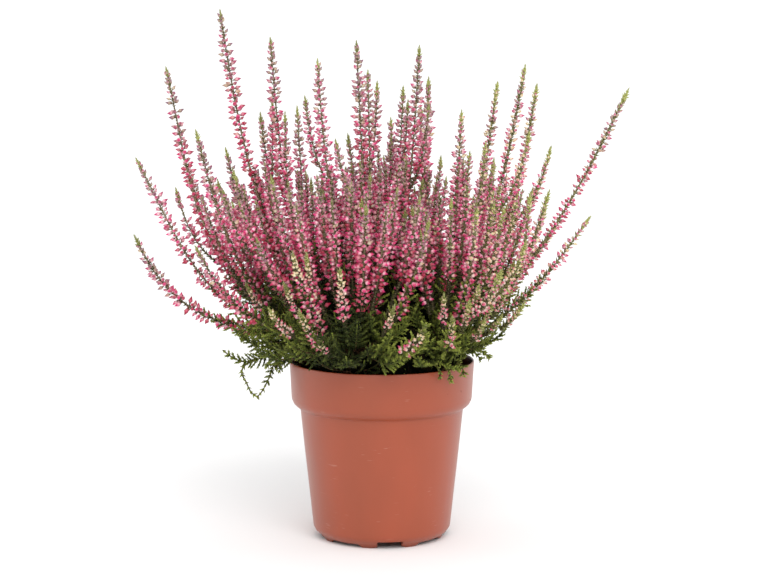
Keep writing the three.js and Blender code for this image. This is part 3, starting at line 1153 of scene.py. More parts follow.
TRAILERS = [
    Trailer([(-50, 10, 130), (-68, 7, 121), (-82, 5, 115), (-90, 4, 114), (-97, 2, 117),
             (-103, 0, 122)], 0.95),
    Trailer([(-82, 4, 116), (-89, 1, 112), (-91, 0, 107), (-88, -1, 101), (-85, -2, 95),
             (-80, -3, 91)], 0.0),
    Trailer([(-46, 6, 129), (-60, 0, 124), (-69, -3, 115), (-73, -4, 105), (-77, -5, 97),
             (-81, -6, 92)], 0.8),
    Trailer([(-40, -16, 128), (-54, -24, 124), (-62, -28, 119), (-66, -30, 112)], 0.97),
    Trailer([(-40, 4, 129), (-54, 0, 126), (-64, -3, 120), (-68, -4, 111)], 0.97),
    Trailer([(-42, -10, 128), (-57, -14, 126), (-68, -16, 121), (-74, -17, 114)], 0.97),
    Trailer([(-44, 12, 130), (-60, 12, 127), (-71, 12, 121), (-77, 12, 115)], 0.97),
    Trailer([(-40, -10, 130), (-62, -18, 136), (-80, -24, 139), (-94, -28, 138)], 0.97, 8.5),
    Trailer([(-40, 2, 130), (-62, 0, 134), (-80, -2, 134), (-92, -4, 130)], 0.97, 8.0),
    Trailer([(-40, -20, 130), (-60, -32, 142), (-76, -40, 149), (-88, -44, 152)], 0.97, 8.0),
    Trailer([(36, -8, 124), (48, -14, 126), (58, -18, 124), (64, -20, 119)], 0.97),
    Trailer([(30, -30, 127), (38, -41, 123), (42, -47, 117), (44, -49, 110)], 0.97, 8.5),
    Trailer([(26, -36, 127), (32, -46, 123), (36, -51, 118), (37, -53, 112)], 0.97, 8.5),
    Trailer([(38, -26, 127), (47, -36, 123), (51, -41, 117), (52, -43, 112)], 0.97, 8.5),
    Trailer([(14, -34, 126), (26, -44, 124), (38, -48, 121), (49, -46, 117)], 0.97, 9.0),
    Trailer([(46, -14, 127), (57, -20, 128), (64, -22, 125), (69, -23, 121)], 0.95),
    Trailer([(30, 40, 127), (46, 52, 125), (54, 60, 118), (58, 64, 109)], 0.7),
    Trailer([(-42, 30, 127), (-58, 40, 124), (-66, 45, 117), (-69, 47, 108)], 0.5),
]


# ---------------------------------------------------------------- small meshes to repeat


def drawn_template(name: str, rings: list[tuple], sides: int) -> bpy.types.Object:
    """Makes an organ that ends in a point, from rings along its length, out of the scene.

    Args:
        name: The template's name.
        rings: For each ring, its distance, its half-width, its half-thickness and the share
            of the organ's length that it shows as. A ring with no width is a point.
        sides: How many corners a ring has.

    Returns:
        An object whose mesh bears the share as "along".
    """
    points: list[Point] = []
    along: list[float] = []
    starts: list[list[int]] = []
    for distance, wide, thick, share in rings:
        corners = 1 if wide == 0 else sides
        starts.append(list(range(len(points), len(points) + corners)))
        for k in range(corners):
            turn = math.tau * k / sides
            points.append((thick * math.cos(turn), wide * math.sin(turn), distance))
            along.append(share)
    faces: list[Face] = []
    for low, high in zip(starts, starts[1:]):
        for k in range(sides):
            n = (k + 1) % sides
            if len(low) == 1:
                faces.append((low[0], high[n], high[k]))
            elif len(high) == 1:
                faces.append((low[k], low[n], high[0]))
            else:
                faces.append((low[k], low[n], high[n], high[k]))
    if len(starts[0]) > 1:
        faces.append(tuple(reversed(starts[0])))
    mesh = faced(name, points, faces)
    mesh.attributes.new("along", "FLOAT", "POINT").data.foreach_set("value", along)
    mesh.shade_smooth()
    return bpy.data.objects.new(name, mesh)


def bud_template() -> bpy.types.Object:
    """A bud on its short stalk: a slim stalk, a round foot and a drawn-out point."""
    rings = [(0, 0, 0, 0), (1.4, 0.36, 0.36, 0.1), (2.9, 1.34, 1.22, 0.4), (5.4, 0, 0, 1)]
    return drawn_template("bud", rings, 5)


def leaf_template() -> bpy.types.Object:
    """A scale leaf: a closed slip with a ridged back, widest at its foot."""
    rings = [(0.1, 0.64, 0.46, 0.1), (1.75, 0, 0, 1)]
    return drawn_template("leaf", rings, 3)


# ---------------------------------------------------------------- pieces


@dataclass(frozen=True)
class Raceme:
    """One budded stem, with its budless foot, its green point and how its buds look and ripen."""

    line: Line
    pale: float
    bare: float
    green: float
    fresh: float
    tint: float
    ripens: float


@dataclass
class FlowerSpikes:
    """The budded part of a clump's flower stems.

    Buds ripen over a length below the green point, which is given by the most that it may be and
    by its share of the stem. Lengths that differ from stem to stem are given by their range.
    """

    clump: Clump
    bud: bpy.types.Object
    leaf: bpy.types.Object
    tree: bpy.types.NodeTree
    spike_ripens: tuple[float, float] = (84.0, 0.66)
    filler_ripens: tuple[float, float] = (50.0, 0.43)
    young_ripens: tuple[float, float] = (60.0, 0.35)
    spike_green: tuple[float, float] = (5.5, 9.0)
    filler_green: tuple[float, float] = (1.5, 5.5)
    spike_bare: tuple[float, float] = (2.0, 17.0)
    filler_bare: tuple[float, float] = (14.0, 48.0)
    stout: float = 0.7
    slim: float = 0.42
    bright_tips: float = 0.3
    dull: float = 0.3
    left_reach: float = 1.17
    bare_left: float = 16.0
    right_green: float = 0.5
    # Below about this height, buds and leaves are painted darker, as shade.
    painted_shade_below: float = 202.0
    dusty_above: float = 212.0
    arm_gaps: float = 0.07

    def __post_init__(self) -> None:
        """Seeds the spikes' random draws."""
        self.draw = np.random.default_rng(self.clump.seed + 7)

    def raceme(
        self, line: Line, young: bool, filler: bool = False, low: bool = False
    ) -> Raceme:
        """Draws how one stem's foot, point and buds look.

        Args:
            line: The budded part of the stem.
            young: Whether its buds are all pale.
            filler: Whether it is one of the shorter spikes between the part's own.
            low: Whether it bears buds from its very foot.

        Returns:
            The stem with its look.
        """
        tip = line.points[-1]
        green = self.draw.uniform(*(self.filler_green if filler else self.spike_green))
        green = min(green, 0.3 * line.length)
        fresh = self.draw.uniform(0.7, 1.0)
        if filler and self.draw.uniform() > self.bright_tips:
            fresh *= self.dull
        bare = self.draw.uniform(*(self.filler_bare if filler else self.spike_bare))
        bare = 0.3 * line.length * self.draw.uniform() if young else bare
        # The lower stems far to the left have a longer budless foot.
        bare += self.bare_left * ease((-tip[0] - 80) / 40) * ease((280 - tip[2]) / 50)
        bare = 0.0 if low else bare
        # More of the buds are pale further to the right, and fewer high up.
        pale = np.interp(tip[0], (20, 100), (0.05, 0.85)) * self.draw.uniform(0.3, 1.3)
        pale *= 1 - 0.6 * ease((tip[2] - 190) / 60)
        most, share = self.filler_ripens if filler else self.spike_ripens
        most, share = self.young_ripens if young else (most, share)
        ripens = min(most, share * line.length)
        tint = self.draw.uniform()
        return Raceme(line, 1.0 if young else pale, bare, green, fresh, tint, ripens)

    def filling(self) -> Iterator[Line]:
        """Makes shorter spikes that stand among the others and fill the mass of pink.

        Returns:
            The budded part of each.
        """
        middle = self.clump.out == 0
        for i in range(self.clump.fillers):
            share = (i + 0.5) / self.clump.fillers
            across = 8 + 34 * share if middle else 36 + 64 * math.sqrt(share)
            width = math.tau if middle else math.radians(88)
            turn = math.radians(self.clump.angle) + width * ((i * GOLDEN + 0.3) % 1 - 0.5)
            x, y, _ = turned(across, turn, 0)
            height = np.interp(x, *zip(*SKYLINE)) - self.draw.uniform(0, 34)
            x *= self.left_reach if x < -60 else 1.0
            tip = np.array([x, y, min(height, 276 - 0.5 * across)])
            line = self.clump.stem(tip)
            yield line.cut(DOME.exit(line) - 6, line.length)

    def racemes(self) -> Iterator[Raceme]:
        """Makes the part's spikes and forks, then the young ones, the extra ones and fillers.

        Returns:
            Each stem with its look.
        """
        for spike in SPIKES:
            if not self.clump.bears(spike.tip):
                continue
            line = self.clump.stem(spike.tip, spike.lean)
            start = DOME.exit(line)
            low = start - 3 - spike.lower
            yield self.raceme(line.cut(low, line.length), spike.pale, low=spike.lower > 0)
            if spike.side is None:
                continue
            side = np.array(spike.side, float)
            parting = start + FORK_OUT
            while np.linalg.norm(line.at(parting) - side) > FORK_LONGEST:
                parting += 1
            fork = Line.bowed(line.at(parting), side)
            yield self.raceme(fork.cut(0, fork.length), spike.pale)
        for tip in YOUNG:
            if self.clump.bears(tip):
                line = Line.bowed(self.clump.foot, np.array(tip, float))
                yield self.raceme(line.cut(0.62 * line.length, line.length), True)
        for name, tip in NEAR:
            if name == self.clump.name:
                line = self.clump.stem(tip)
                yield self.raceme(line.cut(DOME.exit(line) - 8, line.length), False)
        for line in self.filling():
            yield self.raceme(line, False, True)

    def add(self, bundle: LineBundle, raceme: Raceme) -> None:
        """Adds one stem and what its points bear to a bundle.

        Args:
            bundle: The bundle.
            raceme: The stem with its look.
        """
        line, green = raceme.line, raceme.green
        tip = line.points[-1]
        x, height = line.points[:, 0], line.points[:, 2]
        young = raceme.pale == 1
        # The length from each point to the tip, and what depends on that alone.
        left = line.length - line.distances()
        capped = ease((left - 0.5) / 5)
        near_point = 1 - ease((left - green) / 16)
        grown_up = ease((left - green + 2) / 30)
        ripe = ease((left - green) / raceme.ripens)
        # Young spikes turn pink away from their point, and more so where they stand higher.
        pinker = ease((left - green - 5) / 18) if young else 0.0
        pinker *= 0.15 + 0.85 * ease((tip[2] - 158) / 25)
        # Low down, buds are painted deeper and leaves darker, as shade; buds are dustier high up,
        # and smaller and greener to the right.
        low = ease((self.painted_shade_below - height) / 50)
        high = ease((height - self.dusty_above) / 50)
        right = self.right_green * ease((tip[0] - 25) / 60)
        size = (0.72 + 0.34 * grown_up - 0.3 * right) * (0.94 if young else 1.0)
        # Whorls are missing from the arms that reach far out.
        sparse = self.arm_gaps * ease((abs(tip[0]) - 100) / 25)
        size *= self.draw.uniform(size=len(left)) > sparse
        bare = line.distances() < raceme.bare
        budded = (left > green - 1) & ~bare
        bundle.add(
            line,
            ripe=ripe * (0.6 if young else 1.0) * (1 - 0.28 * high),
            pale=raceme.pale - 0.6 * pinker + 0.5 * low * ease((x - 45) / 30),
            tint=raceme.tint - 1.5 * low,
            wood=0.65 * ease((left - green + 3) / 20),
            youth=raceme.fresh * ease(1.3 - left / (green + 8)) + right + 0.3 * low,
            thickness=(self.slim + (self.stout - self.slim) * ease(left / 120)) * MM,
            bud_size=np.where(budded, size, 0.0),
            bud_tilt=0.55 + 0.7 * grown_up + 0.2 * ease((left - 50) / 50),
            leaf_size=(1.1 + 0.2 * near_point + 0.4 * bare + 0.35 * low) * (1 + right) * capped,
            leaf_tilt=0.95,
            tip_size=np.where(left < green + 1, 0.5 + 1.15 * ease(left / 5), 0.0),
            tip_tilt=0.35 + 0.45 * ease(left / 5),
        )

    def build(self) -> bpy.types.Object:
        """Grows the spikes and lets them stand for the part's own.

        Returns:
            The piece.
        """
        bundle = LineBundle()
        for raceme in self.racemes():
            self.add(bundle, raceme)
        organs = {"Bud": self.bud, "Leaf": self.leaf}
        mesh = grown(bundle.to_object("spike_lines"), self.tree, organs)
        piece = put(f"spikes_{self.clump.name}", mesh)
        stood_for = [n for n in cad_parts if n.startswith(f"spike_{self.clump.name}_")]
        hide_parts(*stood_for)
        return piece


def spike_tree(
    bark: bpy.types.Material, petal: bpy.types.Material, green: bpy.types.Material
) -> bpy.types.NodeTree:
    """Builds the tree that turns lines into budded spikes.

    Args:
        bark: The stems' finish.
        petal: The buds' finish.
        green: The leaves' and the green points' finish.

    Returns:
        The tree, with the bud and the leaf and the pitches of their whorls as inputs.
    """
    sheet = GrowthSheet("budded_spike")
    bud, leaf = sheet.template("Bud"), sheet.template("Leaf")
    bud_pitch = sheet.number("Bud Pitch", 3.0 * MM)
    leaf_pitch = sheet.number("Leaf Pitch", 1.6 * MM)
    tip_pitch = sheet.number("Tip Pitch", 1.25 * MM)
    curve = sheet.curve()
    fours, pairs = math.radians(50), math.radians(97)
    strays = {"missing": 0.06, "stray": 0.5, "loose": 0.25, "uneven": 0.22, "slide": 0.8}
    buds = Organ("bud_size", "bud_tilt", 4, fours, petal, 10, **strays)
    leaves = Organ("leaf_size", "leaf_tilt", 2, pairs, green, 30, slide=0.4)
    tips = Organ("tip_size", "tip_tilt", 4, fours, green, 60, loose=0.3, uneven=0.3, slide=0.3)
    return sheet.close(
        sheet.tubes(curve, 5, bark),
        sheet.whorls(curve, buds, bud, bud_pitch),
        sheet.whorls(curve, leaves, leaf, leaf_pitch),
        sheet.whorls(curve, tips, leaf, tip_pitch),
    )


@dataclass
class LeafyClump:
    """A clump's woody foot, branches, leafy twigs and trailing shoots."""

    clump: Clump
    leaf: bpy.types.Object
    tree: bpy.types.NodeTree
    twig_pitch: float = 3.7
    twig_length: float = 8.6
    beyond: float = 36.0
    right_reach: float = 0.88
    left_reach: float = 1.08
    low_shoots: int = 7
    low_foot: float = 14.0
    inner_shoots: int = 6
    inner_across: tuple[float, float] = (8.0, 34.0)
    inner_above: tuple[float, float] = (42.0, 74.0)
    trailing_pitch: float = 3.0
    bundle: LineBundle = field(default_factory=LineBundle)

    def __post_init__(self) -> None:
        """Seeds the clump's random draws."""
        self.draw = np.random.default_rng(self.clump.seed)

    def shoot_tips(self) -> Iterator[np.ndarray]:
        """Spreads leafy shoots over the clump's part of the dome.

        Returns:
            The tip of each.
        """
        clump = self.clump
        for i in range(clump.shoots):
            share = (i + 0.5) / clump.shoots
            height = math.radians(30 + 56 * share if clump.out == 0 else 2 + 58 * share)
            reach = self.draw.uniform(0.8, 1.04)
            reach *= self.right_reach if clump.name.endswith("right") else self.left_reach
            across = DOME.radius * reach * math.cos(height)
            width = math.tau if clump.out == 0 else math.radians(96)
            turn = math.radians(clump.angle) + width * ((i * GOLDEN) % 1 - 0.5)
            z = DOME.foot + 12 + (DOME.height - 12) * reach * math.sin(height)
            yield np.array(turned(across, turn, z))

    def low_tips(self) -> Iterator[np.ndarray]:
        """Spreads low shoots over the compost and the rim.

        Returns:
            The tip of each.
        """
        clump = self.clump
        for i in range(self.low_shoots):
            across = self.draw.uniform(14, 44) if clump.out == 0 else self.draw.uniform(34, 70)
            width = math.tau if clump.out == 0 else math.radians(100)
            turn = math.radians(clump.angle) + width * ((i + 0.5) / self.low_shoots - 0.5)
            z = self.draw.uniform(112, 120) if across < 50 else self.draw.uniform(122, 130)
            yield np.array(turned(across, turn, z))

    def inner_tips(self) -> Iterator[np.ndarray]:
        """Spreads taller leafy shoots among the flower stems.

        Returns:
            The tip of each.
        """
        for i in range(self.inner_shoots):
            across = self.draw.uniform(*self.inner_across)
            turn = math.tau * (i * GOLDEN + 0.2)
            out = np.array(turned(across, turn, 0.0))
            yield self.clump.foot + out + UP * self.draw.uniform(*self.inner_above)

    def is_clear(self, point: np.ndarray) -> bool:
        """Tells whether a point is clear of the pot's rim, the compost and the dark middle.

        Args:
            point: The point.

        Returns:
            Whether it is, so that a twig may be there.
        """
        across = math.hypot(point[0], point[1])
        share = DOME.share(point)
        over_right = point[0] > 50 and share > 1 and point[2] < 151
        in_thatch = share < THATCH_SHARE and point[2] > 120
        above_rim = point[2] > 121
        beside_pot = across > 64 and point[2] > 80
        over_compost = across < 54 and point[2] > 109
        return (above_rim or beside_pot or over_compost) and not (over_right or in_thatch)

    def twigs(
        self,
        branch: Line,
        start: float,
        end: float,
        longest: float,
        flat: bool = True,
        lean: tuple[float, float] = (0.7, 1.05),
    ) -> None:
        """Sets leafy twigs in pairs along a branch, shorter towards its end.

        Args:
            branch: The branch.
            start: How far along it the twigs start.
            end: How far along it they end.
            longest: The longest twig's length.
            flat: Whether the pairs lie in one plane, as in a spray.
            lean: The least and most angle between a twig and the branch.
        """
        at = start
        turn = self.draw.uniform(0, math.tau)
        while at < end:
            heading = branch.heading(at)
            side = np.cross(heading, UP)
            side /= max(float(np.linalg.norm(side)), 1e-6)
            front = np.cross(side, heading)
            turn += 0.0 if flat else math.pi / 2
            for half in (0.0, math.pi):
                angle = turn + half + self.draw.uniform(-0.35, 0.35)
                out = side * math.cos(angle) + front * math.sin(angle)
                tilt = self.draw.uniform(*lean)
                taper = 0.35 + 0.65 * ease((end - at) / 30)
                length = longest * taper * self.draw.uniform(0.65, 1.2)
                way = heading * math.cos(tilt) + out * math.sin(tilt)
                rise = UP * self.draw.uniform(0.0, 0.3) + heading * 0.25
                foot = branch.at(at)
                t = np.linspace(0.0, 1.0, 3)[:, None]
                points = foot + length * (way * t + rise * t * t * 0.5)
                if self.is_clear(points[2]) and self.is_clear(points[1]):
                    self.add_twig(Line.even(points, length / 2))
            at += self.twig_pitch * self.draw.uniform(0.8, 1.2)

    def add_twig(self, line: Line) -> None:
        """Adds one leafy twig, greener and fresher the further out it stands, and lighter or darker
        across the plant by painted light and shade.

        Args:
            line: The twig's line.
        """
        share = line.distances() / line.length
        x, _, z = line.points[-1]
        # Twigs are fresher at the dome's skin, less so near its top.
        outer = ease((DOME.share(line.points[-1]) - 0.55) / 0.5)
        outer *= 1 - 0.6 * ease((z - 138) / 26)
        # Painted light and shade: those to the right are painted the lightest, and those a little
        # left of the middle the darkest, as in shade.
        painted_light = 0.34 + 1.4 * ease((x + 14) / 24) + 0.75 * ease((-x - 34) / 20)
        self.bundle.add(
            line,
            thickness=(0.68 - 0.25 * share) * MM,
            wood=0.0,
            tint=self.draw.uniform() * (0.25 + 0.75 * outer) * painted_light,
            youth=(0.25 * share + 0.75 * share * outer) * painted_light,
            leaf_size=1.3 - 0.25 * share**2,
            leaf_tilt=0.72 - 0.3 * share,
        )

    def add_branch(self, line: Line, leafy_from: float, thick: tuple[float, float]) -> None:
        """Adds one branch.

        Args:
            line: The branch's line.
            leafy_from: How far along it its own leaves start.
            thick: Its radius at its foot and at its end.
        """
        at = line.distances()
        share = at / line.length
        self.bundle.add(
            line,
            thickness=(thick[0] + (thick[1] - thick[0]) * share) * MM,
            wood=1 - 0.8 * ease((share - 0.5) / 0.5),
            tint=self.draw.uniform(),
            youth=0.55 * ease((share - 0.4) / 0.6),
            leaf_size=np.where(at > leafy_from, 0.95, 0.0),
            leaf_tilt=0.65 - 0.3 * share**3,
        )

    def add_trailing(self, line: Line) -> None:
        """Adds one thin hanging shoot, with stubby leaves in pairs that stand apart.

        Args:
            line: The shoot's line.
        """
        at = line.distances()
        self.bundle.add(
            line,
            thickness=(0.7 - 0.2 * at / line.length) * MM,
            wood=0.5,
            tint=0.6,
            youth=0.6 + 0.4 * at / line.length,
            leaf_size=np.where(at % self.trailing_pitch < 1.3, 1.75, 0.0),
            leaf_tilt=1.0,
        )

    def add_shoot(
        self,
        foot: np.ndarray,
        tip: np.ndarray,
        radius: float,
        leafy_from: float = 0.4,
        twiggy_from: float = 0.35,
        flat: bool = True,
    ) -> None:
        """Adds one leafy shoot, a branch with twigs.

        Args:
            foot: Where it starts.
            tip: Where it ends.
            radius: How thick its foot is.
            leafy_from: The share of its length at which its own leaves start.
            twiggy_from: The share of its length at which its twigs start.
            flat: Whether its twigs lie in one plane, as in a spray.
        """
        line = Line.bowed(foot, tip)
        self.add_branch(line.cut(0, line.length), leafy_from * line.length, (radius, 0.4))
        start = twiggy_from * line.length
        self.twigs(line, start, line.length - 2, self.twig_length, flat)

    def build(self) -> bpy.types.Object:
        """Grows the clump and lets it stand for the part's own.

        Returns:
            The piece.
        """
        foot = self.clump.foot
        trunk = np.stack([foot * [1, 1, 0] + UP * z for z in (TRUNK_FOOT, 108.0, STEM_FOOT + 3)])
        self.add_branch(Line.even(trunk, 6), math.inf, TRUNK_RADII)
        for spike in SPIKES:
            if not self.clump.bears(spike.tip):
                continue
            line = self.clump.stem(spike.tip, spike.lean)
            end = DOME.exit(line)
            self.add_branch(line.cut(0, end), 0.45 * end, (1.25, 0.62))
            self.twigs(line, 0.4 * end, end + self.beyond, self.twig_length, flat=False)
        for tip in self.shoot_tips():
            self.add_shoot(foot, tip, 1.0)
        for tip in self.inner_tips():
            self.add_shoot(foot, tip, 0.9, flat=False)
        for tip in self.low_tips():
            self.add_shoot(foot - UP * self.low_foot, tip, 0.8, 0.3, 0.25)
        for trailer in TRAILERS:
            if self.clump.bears(trailer.places[-1]):
                line = Line.through(trailer.places)
                self.add_trailing(line.cut(0, line.length, 0.6))
                end = trailer.twiggy * line.length
                self.twigs(line, 0.15 * line.length, end, trailer.longest, lean=(0.7, 1.1))
        mesh = grown(self.bundle.to_object("leafy_lines"), self.tree, {"Leaf": self.leaf})
        piece = put(f"leafy_{self.clump.name}", mesh)
        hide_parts(f"leafy_clump_{self.clump.name}")
        return piece


def leafy_tree(bark: bpy.types.Material, green: bpy.types.Material) -> bpy.types.NodeTree:
    """Builds the tree that turns lines into leafy stems.

    Args:
        bark: The stems' finish.
        green: The leaves' finish.

    Returns:
        The tree, with the leaf and the pitch of its whorls as inputs.
    """
    sheet = GrowthSheet("leafy_stem")
    leaf = sheet.template("Leaf")
    pitch = sheet.number("Leaf Pitch", 0.95 * MM)
    curve = sheet.curve()
    leaves = Organ("leaf_size", "leaf_tilt", 2, math.pi / 2, green, 50, stray=0.3)
    return sheet.close(sheet.tubes(curve, 3, bark), sheet.whorls(curve, leaves, leaf, pitch))


@dataclass
class Undergrowth:
    """The middle that the leafy shoots stand out of, dark with painted shade."""

    finish: bpy.types.Material
    foot: float = 104.0
    foot_radius: float = 40.0
    around: int = 96
    rows: int = 26
    rough: float = 0.09
    stretch: float = 1.9

    def furrows(self) -> list[Point]:
        """Makes the dome's rings, pushed in and out at random.

        Returns:
            The points of the rings, from the edge to near the top.
        """
        draw = np.random.default_rng(3)
        waves = draw.uniform(0, math.tau, 8)
        points: list[Point] = []
        for row in range(self.rows):
            rise = row / self.rows
            height = math.pi / 2 * rise
            for k in range(self.around):
                turn = math.tau * k / self.around
                swell = sum(
                    math.sin((5 + 3 * i) * turn + wave + 9 * rise * (i % 3)) / (1 + 0.3 * i)
                    for i, wave in enumerate(waves)
                )
                size = THATCH_SHARE * (0.9 + self.rough * swell * math.cos(height) ** 0.5)
                z = DOME.foot + self.stretch * DOME.height * size * math.sin(height)
                points.append(turned(DOME.radius * size * math.cos(height), turn, z))
        return points

    def build(self) -> bpy.types.Object:
        """Builds a furrowed dome over the compost.

        Returns:
            The piece.
        """
        points = [*ring(self.foot_radius, self.foot, self.around), *self.furrows()]
        top = len(points) - self.around
        faces = bands(0, self.rows + 1, self.around)
        faces.append(tuple(range(top, len(points))))
        faces.append(tuple(reversed(range(self.around))))
        mesh = faced("undergrowth", points, faces, self.finish)
        piece = put("undergrowth", mesh)
        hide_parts("leafy_clump_middle")
        return piece


@dataclass
class NurseryPot:
    """The thin plastic pot, turned smooth, with its notched base ring and feet.

    The base ring's notches and feet are given by angles from the middle of a notch, in degrees.
    The floor is given by the heights of its two sides.
    """

    finish: bpy.types.Material
    around: int = 180
    wall: float = 1.2
    floor: tuple[float, float] = (5.2, 6.4)
    ring_inside: float = 37.4
    ring_outside: float = 39.6
    ring_foot: float = 2.0
    wave: float = 0.18
    wave_from: float = 92.0
    wave_rise: float = 24.0
    notch_first: float = -82.5
    notch_half: float = 11.5
    notch_top: float = 4.9
    notch_outside: float = 43.3
    notches: int = 4
    foot_near: float = 12.5
    foot_far: float = 31.0
    foot_ease: tuple[float, float] = (4.0, 6.0)
    foot_inset: float = 0.4

    def outside(self) -> list[tuple[float, float]]:
        """Gives the outer profile, from the base ring to the lip.

        Returns:
            Its radii and heights.
        """
        return [
            (self.ring_outside, self.ring_foot), (40.6, 2.5), (41.6, 3.2), (42.7, 4.2),
            (43.8, 5.6), (44.5, 7.0), (44.75, 8.2), (45.6, 16), (47.2, 31), (48.9, 46.5),
            (50.6, 62), (52.2, 77.5), (52.9, 84.2), (53.1, 84.9), (53.7, 85.5), (54.8, 86.2),
            (56.1, 87.2), (57.4, 88.6), (57.9, 89.8), (58.4, 91.0), (58.6, 92.4), (58.95, 98.5),
            (59.4, 106), (59.8, 111.6), (60.0, 114.6), (60.0, 115.5), (59.8, 115.9),
            (59.4, 116.0),
        ]

    def inside(self) -> list[tuple[float, float]]:
        """Gives the inner profile, from the lip to near the middle of the floor.

        Returns:
            Its radii and heights.
        """
        top = self.floor[1]
        return [
            (59.0, 115.9), (58.8, 115.5), (58.6, 111.6), (58.3, 104), (57.9, 92.0),
            (57.6, 90.8), (56.6, 89.3), (55.2, 87.8), (52.9, 86.4), (52.0, 85.2),
            (51.7, 84.0), (49.4, 62), (46.0, 31), (44.75 - self.wall, 9.5), (42.6, 7.4),
            (40.8, 6.5), (self.ring_inside, top), (20, top),
        ]

    def base(self, angle: float) -> float:
        """Finds the height of the base ring's lower edge.

        Args:
            angle: The angle round the pot, in degrees.

        Returns:
            The height, which is 0 under a foot.
        """
        turn = 360 / self.notches
        off = abs((angle - self.notch_first + turn / 2) % turn - turn / 2)
        if off < self.notch_half:
            return self.notch_top
        near = 0.7 * (1 - float(ease((off - self.foot_near) / self.foot_ease[0])))
        far = self.ring_foot * (1 - float(ease((self.foot_far - off) / self.foot_ease[1])))
        return max(near, far)

    def edges(self) -> np.ndarray:
        """Spreads the pot's upright lines, with more of them where the base ring steps.

        Returns:
            Their angles, in degrees.
        """
        marks = [self.notch_half - 0.25, self.notch_half + 0.25]
        for share in (0, 0.25, 0.5, 0.75, 1):
            marks.append(self.foot_near + share * self.foot_ease[0])
            marks.append(self.foot_far - share * self.foot_ease[1])
        steps = [
            self.notch_first + 360 / self.notches * i + sign * mark
            for i in range(self.notches) for sign in (-1, 1) for mark in marks
        ]
        even = np.arange(self.around) * 360 / self.around
        folded = np.sort(np.array(steps) % 360)
        near = np.min(np.abs((even[:, None] - folded[None] + 180) % 360 - 180), axis=1)
        return np.sort(np.concatenate([even[near > 0.5], folded]))

    def place(self, radius: float, z: float, angle: float) -> Point:
        """Places one point of the pot, with its notches, its feet and its slightly wavy wall.

        Args:
            radius: The point's radius in the profile.
            z: Its height in the profile.
            angle: Its angle, in degrees.

        Returns:
            The point.
        """
        turn = math.radians(angle)
        high = ease((z - self.wave_from) / self.wave_rise)
        wave = self.wave * high * (math.sin(3 * turn + 1) + 0.6 * math.sin(7 * turn))
        across = radius - abs(wave) * 1.2
        low = self.base(angle)
        under_floor = z <= self.floor[1] and radius < 45
        if not under_floor or z >= max(low, self.ring_foot + 0.01):
            return turned(across, turn, z)
        if low > self.ring_foot and radius > self.ring_inside:
            across = max(radius, self.notch_outside)
        if low < 1 and radius <= self.ring_outside:
            across += self.foot_inset if radius < 38 else -self.foot_inset
        return turned(across, turn, low)

    def build(self) -> bpy.types.Object:
        """Turns the profile and lets it stand for the part's faceted pot.

        Returns:
            The piece.
        """
        angles = self.edges()
        count = len(angles)
        under, top = self.floor
        ring_inside = [(self.ring_inside, under), (self.ring_inside, self.ring_foot)]
        profile = [*ring_inside, *self.outside(), *self.inside()]
        points: list[Point] = [(0, 0, under), (0, 0, top)]
        points += [self.place(radius, z, angle) for radius, z in profile for angle in angles]
        faces = bands(2, len(profile), count)
        last = len(points) - count
        for k in range(count):
            n = (k + 1) % count
            faces.append((0, 2 + n, 2 + k))
            faces.append((1, last + k, last + n))
        mesh = faced("nursery_pot", *with_area(points, faces), self.finish)
        mesh.shade_smooth()
        piece = put("nursery_pot", mesh)
        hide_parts("pot")
        return piece


